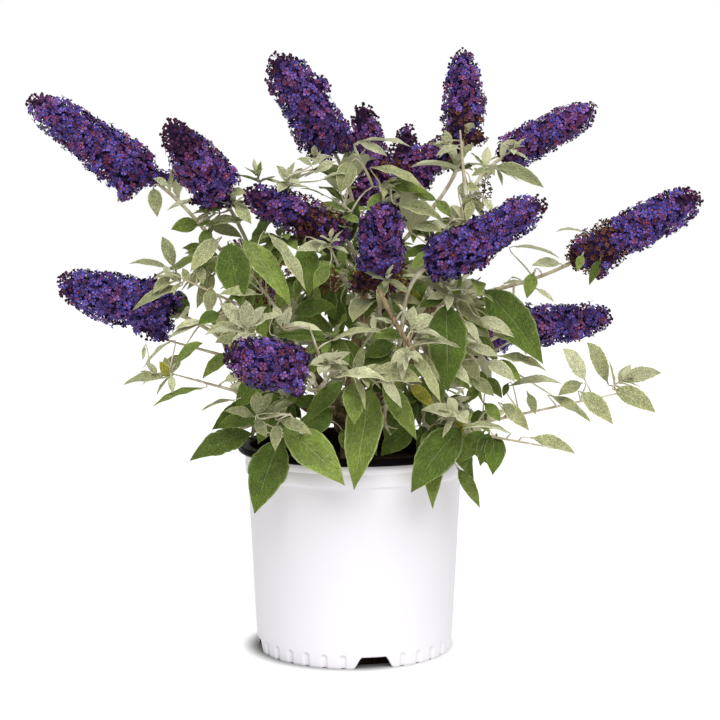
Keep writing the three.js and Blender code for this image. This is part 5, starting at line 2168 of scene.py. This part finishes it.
class BUSH_OT_soil(bpy.types.Operator):
    """Build the potting mix and strew bark chips over it"""

    bl_idname = "bush.soil"
    bl_label = "Potting Mix"

    def execute(self, context):
        settings = context.scene.bush_pot
        mix = damp_soil("damp_mix", settings)
        piece("potting_mix_fill", soil_mesh(), [mix], ["potting_mix"])
        tree = scatter_tree()
        top = soil_top_mesh()
        splinter = chip_shape("splinter", CHIP["size"], CHIP["seed"])
        for index, (name, skin) in enumerate((
            ("bark_chips", chipped_bark("bark_chip", settings.chip)),
            ("bark_chips_dark", chipped_bark("bark_chip_dark", shade(settings.chip, 0.4))),
        )):
            mesh = grown(name, top, tree, {
                "Shape": splinter, "Distance": 0.0045, "Density": 26000.0, "Seed": 4 + index,
                "From": "share_0", "To": "share_1",
                "Least Size": (0.4, 0.4, 0.5), "Most Size": (1.5, 1.4, 1.4), "Tilt": 0.5,
                "Sink": 0.0008, "Lift": 0.0008, "Skin": skin, "Eye": skin,
            })
            piece(name, mesh, [], ["potting_mix"])
        return {"FINISHED"}


class BUSH_OT_wood(bpy.types.Operator):
    """Build the trunk and the boughs with the relief of their bark"""

    bl_idname = "bush.wood"
    bl_label = "Trunk and Boughs"

    def execute(self, context):
        settings = context.scene.bush_wood
        bark = old_bark("old_bark", settings)
        piece("old_wood", wood_mesh(settings), [bark], nodes_like("trunk", "bough_"))
        return {"FINISHED"}


class BUSH_OT_stems(bpy.types.Operator):
    """Build the stems and the fine twigs"""

    bl_idname = "bush.stems"
    bl_label = "Stems"

    def execute(self, context):
        tree = tube_tree()
        skin = downy_stem("downy_stem", context.scene.bush_wood)
        shoots = nodes_like("spire_", "leafy_", "skirt_")
        for name, threads, sides in (
            ("stems", stem_threads(plant()), 8),
            ("twigs", twig_threads(plant()), 5),
        ):
            mesh = grown(name, threads.mesh(name + "_path"), tree, {"Sides": sides, "Skin": skin})
            piece(name, mesh, [], shoots)
        return {"FINISHED"}


class BUSH_OT_leaves(bpy.types.Operator):
    """Build the leaves, one piece for each of their tints"""

    bl_idname = "bush.leaves"
    bl_label = "Leaves"

    def execute(self, context):
        settings = context.scene.bush_leaves
        back = leaf_back("leaf_underside", settings.underside)
        shoots = nodes_like("spire_", "leafy_", "skirt_")
        for tint, heap in leaf_heaps(plant(), settings).items():
            felt, ground = FELT[tint], getattr(settings, tint)
            pale = tuple(a + (b - a) * (0.2 + 0.8 * felt) for a, b in zip(ground, settings.underside))
            face = leaf_face(f"leaf_{tint}", ground, shade(pale, 1.3), felt)
            blades = heap.mesh(f"leaves_{tint}", sharp=70)
            piece(f"leaves_{tint}", blades, [face, back], shoots)
        return {"FINISHED"}


class BUSH_OT_blossom(bpy.types.Operator):
    """Build the flower spires: a dark centre that is partly painted shade between the florets, open florets,
    spent ones and buds
    """

    bl_idname = "bush.blossom"
    bl_label = "Flower Spires"

    def execute(self, context):
        settings = context.scene.bush_blossom
        spires = nodes_like("spire_")
        # The dark body under the florets is partly painted shade.
        core = mottled("spire_core", settings.core, 300)
        piece("spire_cores", blossom_surface(CORE_SCALE), [core], spires)
        surface = blossom_surface(FLORET_SCALE)
        tree = scatter_tree()
        eye = mottled("floret_eye", settings.eye, 200, 0.6)
        skins = {
            "bud": mottled("bud_skin", settings.bud, 220),
            "spent": mottled("spent_floret", settings.spent, 160),
            "blue": petal("blue_lobe", settings.blue, paler(settings.blue)),
            "violet": petal("violet_lobe", settings.violet, paler(settings.violet)),
            "plum": petal("plum_lobe", settings.plum, paler(settings.plum)),
        }
        open_floret = floret_mesh(settings.span, *FLORET["open"])
        closed = floret_mesh(settings.span * FLORET["shrunk"], *FLORET["spent"])
        bud = bud_object(*FLORET["bud"])
        shapes = {"bud": bud, "spent": closed}
        for index, kind in enumerate(FLORET_KINDS):
            mesh = grown(f"florets_{kind}", surface, tree, {
                "Shape": shapes.get(kind, open_floret), "Density": 130000.0,
                "Distance": settings.gap * (0.6 if kind == "bud" else 1.0),
                "Seed": settings.seed, "From": f"share_{index}", "To": f"share_{index + 1}",
                "Least Size": (0.75, 0.75, 0.8), "Most Size": (1.15, 1.15, 1.2),
                "Tilt": 0.42, "Sink": 0.0016, "Lift": 0.0028, "Skin": skins[kind],
                "Eye": skins["spent"] if kind == "spent" else eye,
            })
            piece(f"florets_{kind}", mesh, [], spires)
        return {"FINISHED"}


class BUSH_OT_stage(bpy.types.Operator):
    """Set the floor, the lights and the camera"""

    bl_idname = "bush.stage"
    bl_label = "Stage"

    def execute(self, context):
        settings = context.scene.bush_stage
        lay_floor(settings)
        set_surroundings(context.scene, settings)
        hang_sun(settings)
        eye = bpy.data.cameras.new("camera")
        eye.lens = settings.lens
        camera = bpy.data.objects.new("camera", eye)
        camera.location = settings.stand
        camera.rotation_euler = (math.pi / 2 - settings.tilt, 0, 0)
        context.scene.collection.objects.link(camera)
        context.scene.camera = camera
        return {"FINISHED"}


FLOOR_HALF = 6.0


def lay_floor(settings):
    half = FLOOR_HALF
    corners = [(-half, -half, 0), (half, -half, 0), (half, half, 0), (-half, half, 0)]
    mesh = bpy.data.meshes.new("floor")
    mesh.from_pydata(corners, [], [(0, 1, 2, 3)])
    floor = bpy.data.objects.new("floor", mesh)
    mesh.materials.append(floor_paper("floor_paper", settings))
    bpy.context.scene.collection.objects.link(floor)


def set_surroundings(scene, settings):
    world = bpy.data.worlds.new("surroundings")
    world.use_nodes = True
    world.node_tree.nodes.clear()
    tree = Tree(world.node_tree)
    lit = tree.wire("ShaderNodeBackground", {}, {"Color": (1, 1, 1), "Strength": settings.sky})
    seen = tree.wire("ShaderNodeBackground", {}, {"Color": (1, 1, 1), "Strength": 1.0})
    to_camera = tree.wire("ShaderNodeLightPath", {}, {}, "Is Camera Ray")
    both = tree.wire("ShaderNodeMixShader", {}, {0: to_camera, 1: lit, 2: seen})
    tree.node("ShaderNodeOutputWorld", {}, {"Surface": both})
    scene.world = world
    scene.view_settings.view_transform = "Standard"


def hang_sun(settings):
    """A wide overhead softbox, far enough to light the whole floor alike."""
    lamp = bpy.data.lights.new("softbox", "SUN")
    lamp.energy = settings.key
    lamp.angle = settings.softness
    light = bpy.data.objects.new("softbox", lamp)
    light.rotation_euler = heading(settings.side, settings.rise).to_track_quat("Z", "Y").to_euler()
    light.location = (0, 0, 2)
    bpy.context.scene.collection.objects.link(light)


# ---------------------------------------------------------------- panel and registering


class BUSH_PT_panel(bpy.types.Panel):
    """Lists the parts of the plant"""

    bl_idname = "BUSH_PT_panel"
    bl_label = "Butterfly Bush"
    bl_space_type = "VIEW_3D"
    bl_region_type = "UI"
    bl_category = "Bush"

    def draw(self, context):
        for operator in OPERATORS:
            self.layout.operator(operator.bl_idname)
        for name in SETTINGS:
            box = self.layout.box()
            group_of = getattr(context.scene, name)
            for key in group_of.bl_rna.properties.keys():
                if key not in ("rna_type", "name"):
                    box.prop(group_of, key)


OPERATORS = (
    BUSH_OT_pot, BUSH_OT_soil, BUSH_OT_wood, BUSH_OT_stems, BUSH_OT_leaves, BUSH_OT_blossom, BUSH_OT_stage,
)
SETTINGS = {
    "bush_pot": PotSettings,
    "bush_wood": WoodSettings,
    "bush_leaves": LeafSettings,
    "bush_blossom": BlossomSettings,
    "bush_stage": StageSettings,
}


def register():
    for kind in (*SETTINGS.values(), *OPERATORS, BUSH_PT_panel):
        bpy.utils.register_class(kind)
    for name, kind in SETTINGS.items():
        setattr(bpy.types.Scene, name, PointerProperty(type=kind))


def unregister():
    for name in SETTINGS:
        delattr(bpy.types.Scene, name)
    for kind in (BUSH_PT_panel, *reversed(OPERATORS), *SETTINGS.values()):
        bpy.utils.unregister_class(kind)


def main():
    register()
    bpy.ops.bush.stage()
    bpy.ops.bush.pot()
    bpy.ops.bush.soil()
    bpy.ops.bush.wood()
    bpy.ops.bush.stems()
    bpy.ops.bush.leaves()
    bpy.ops.bush.blossom()


if __name__ == "__main__":
    main()
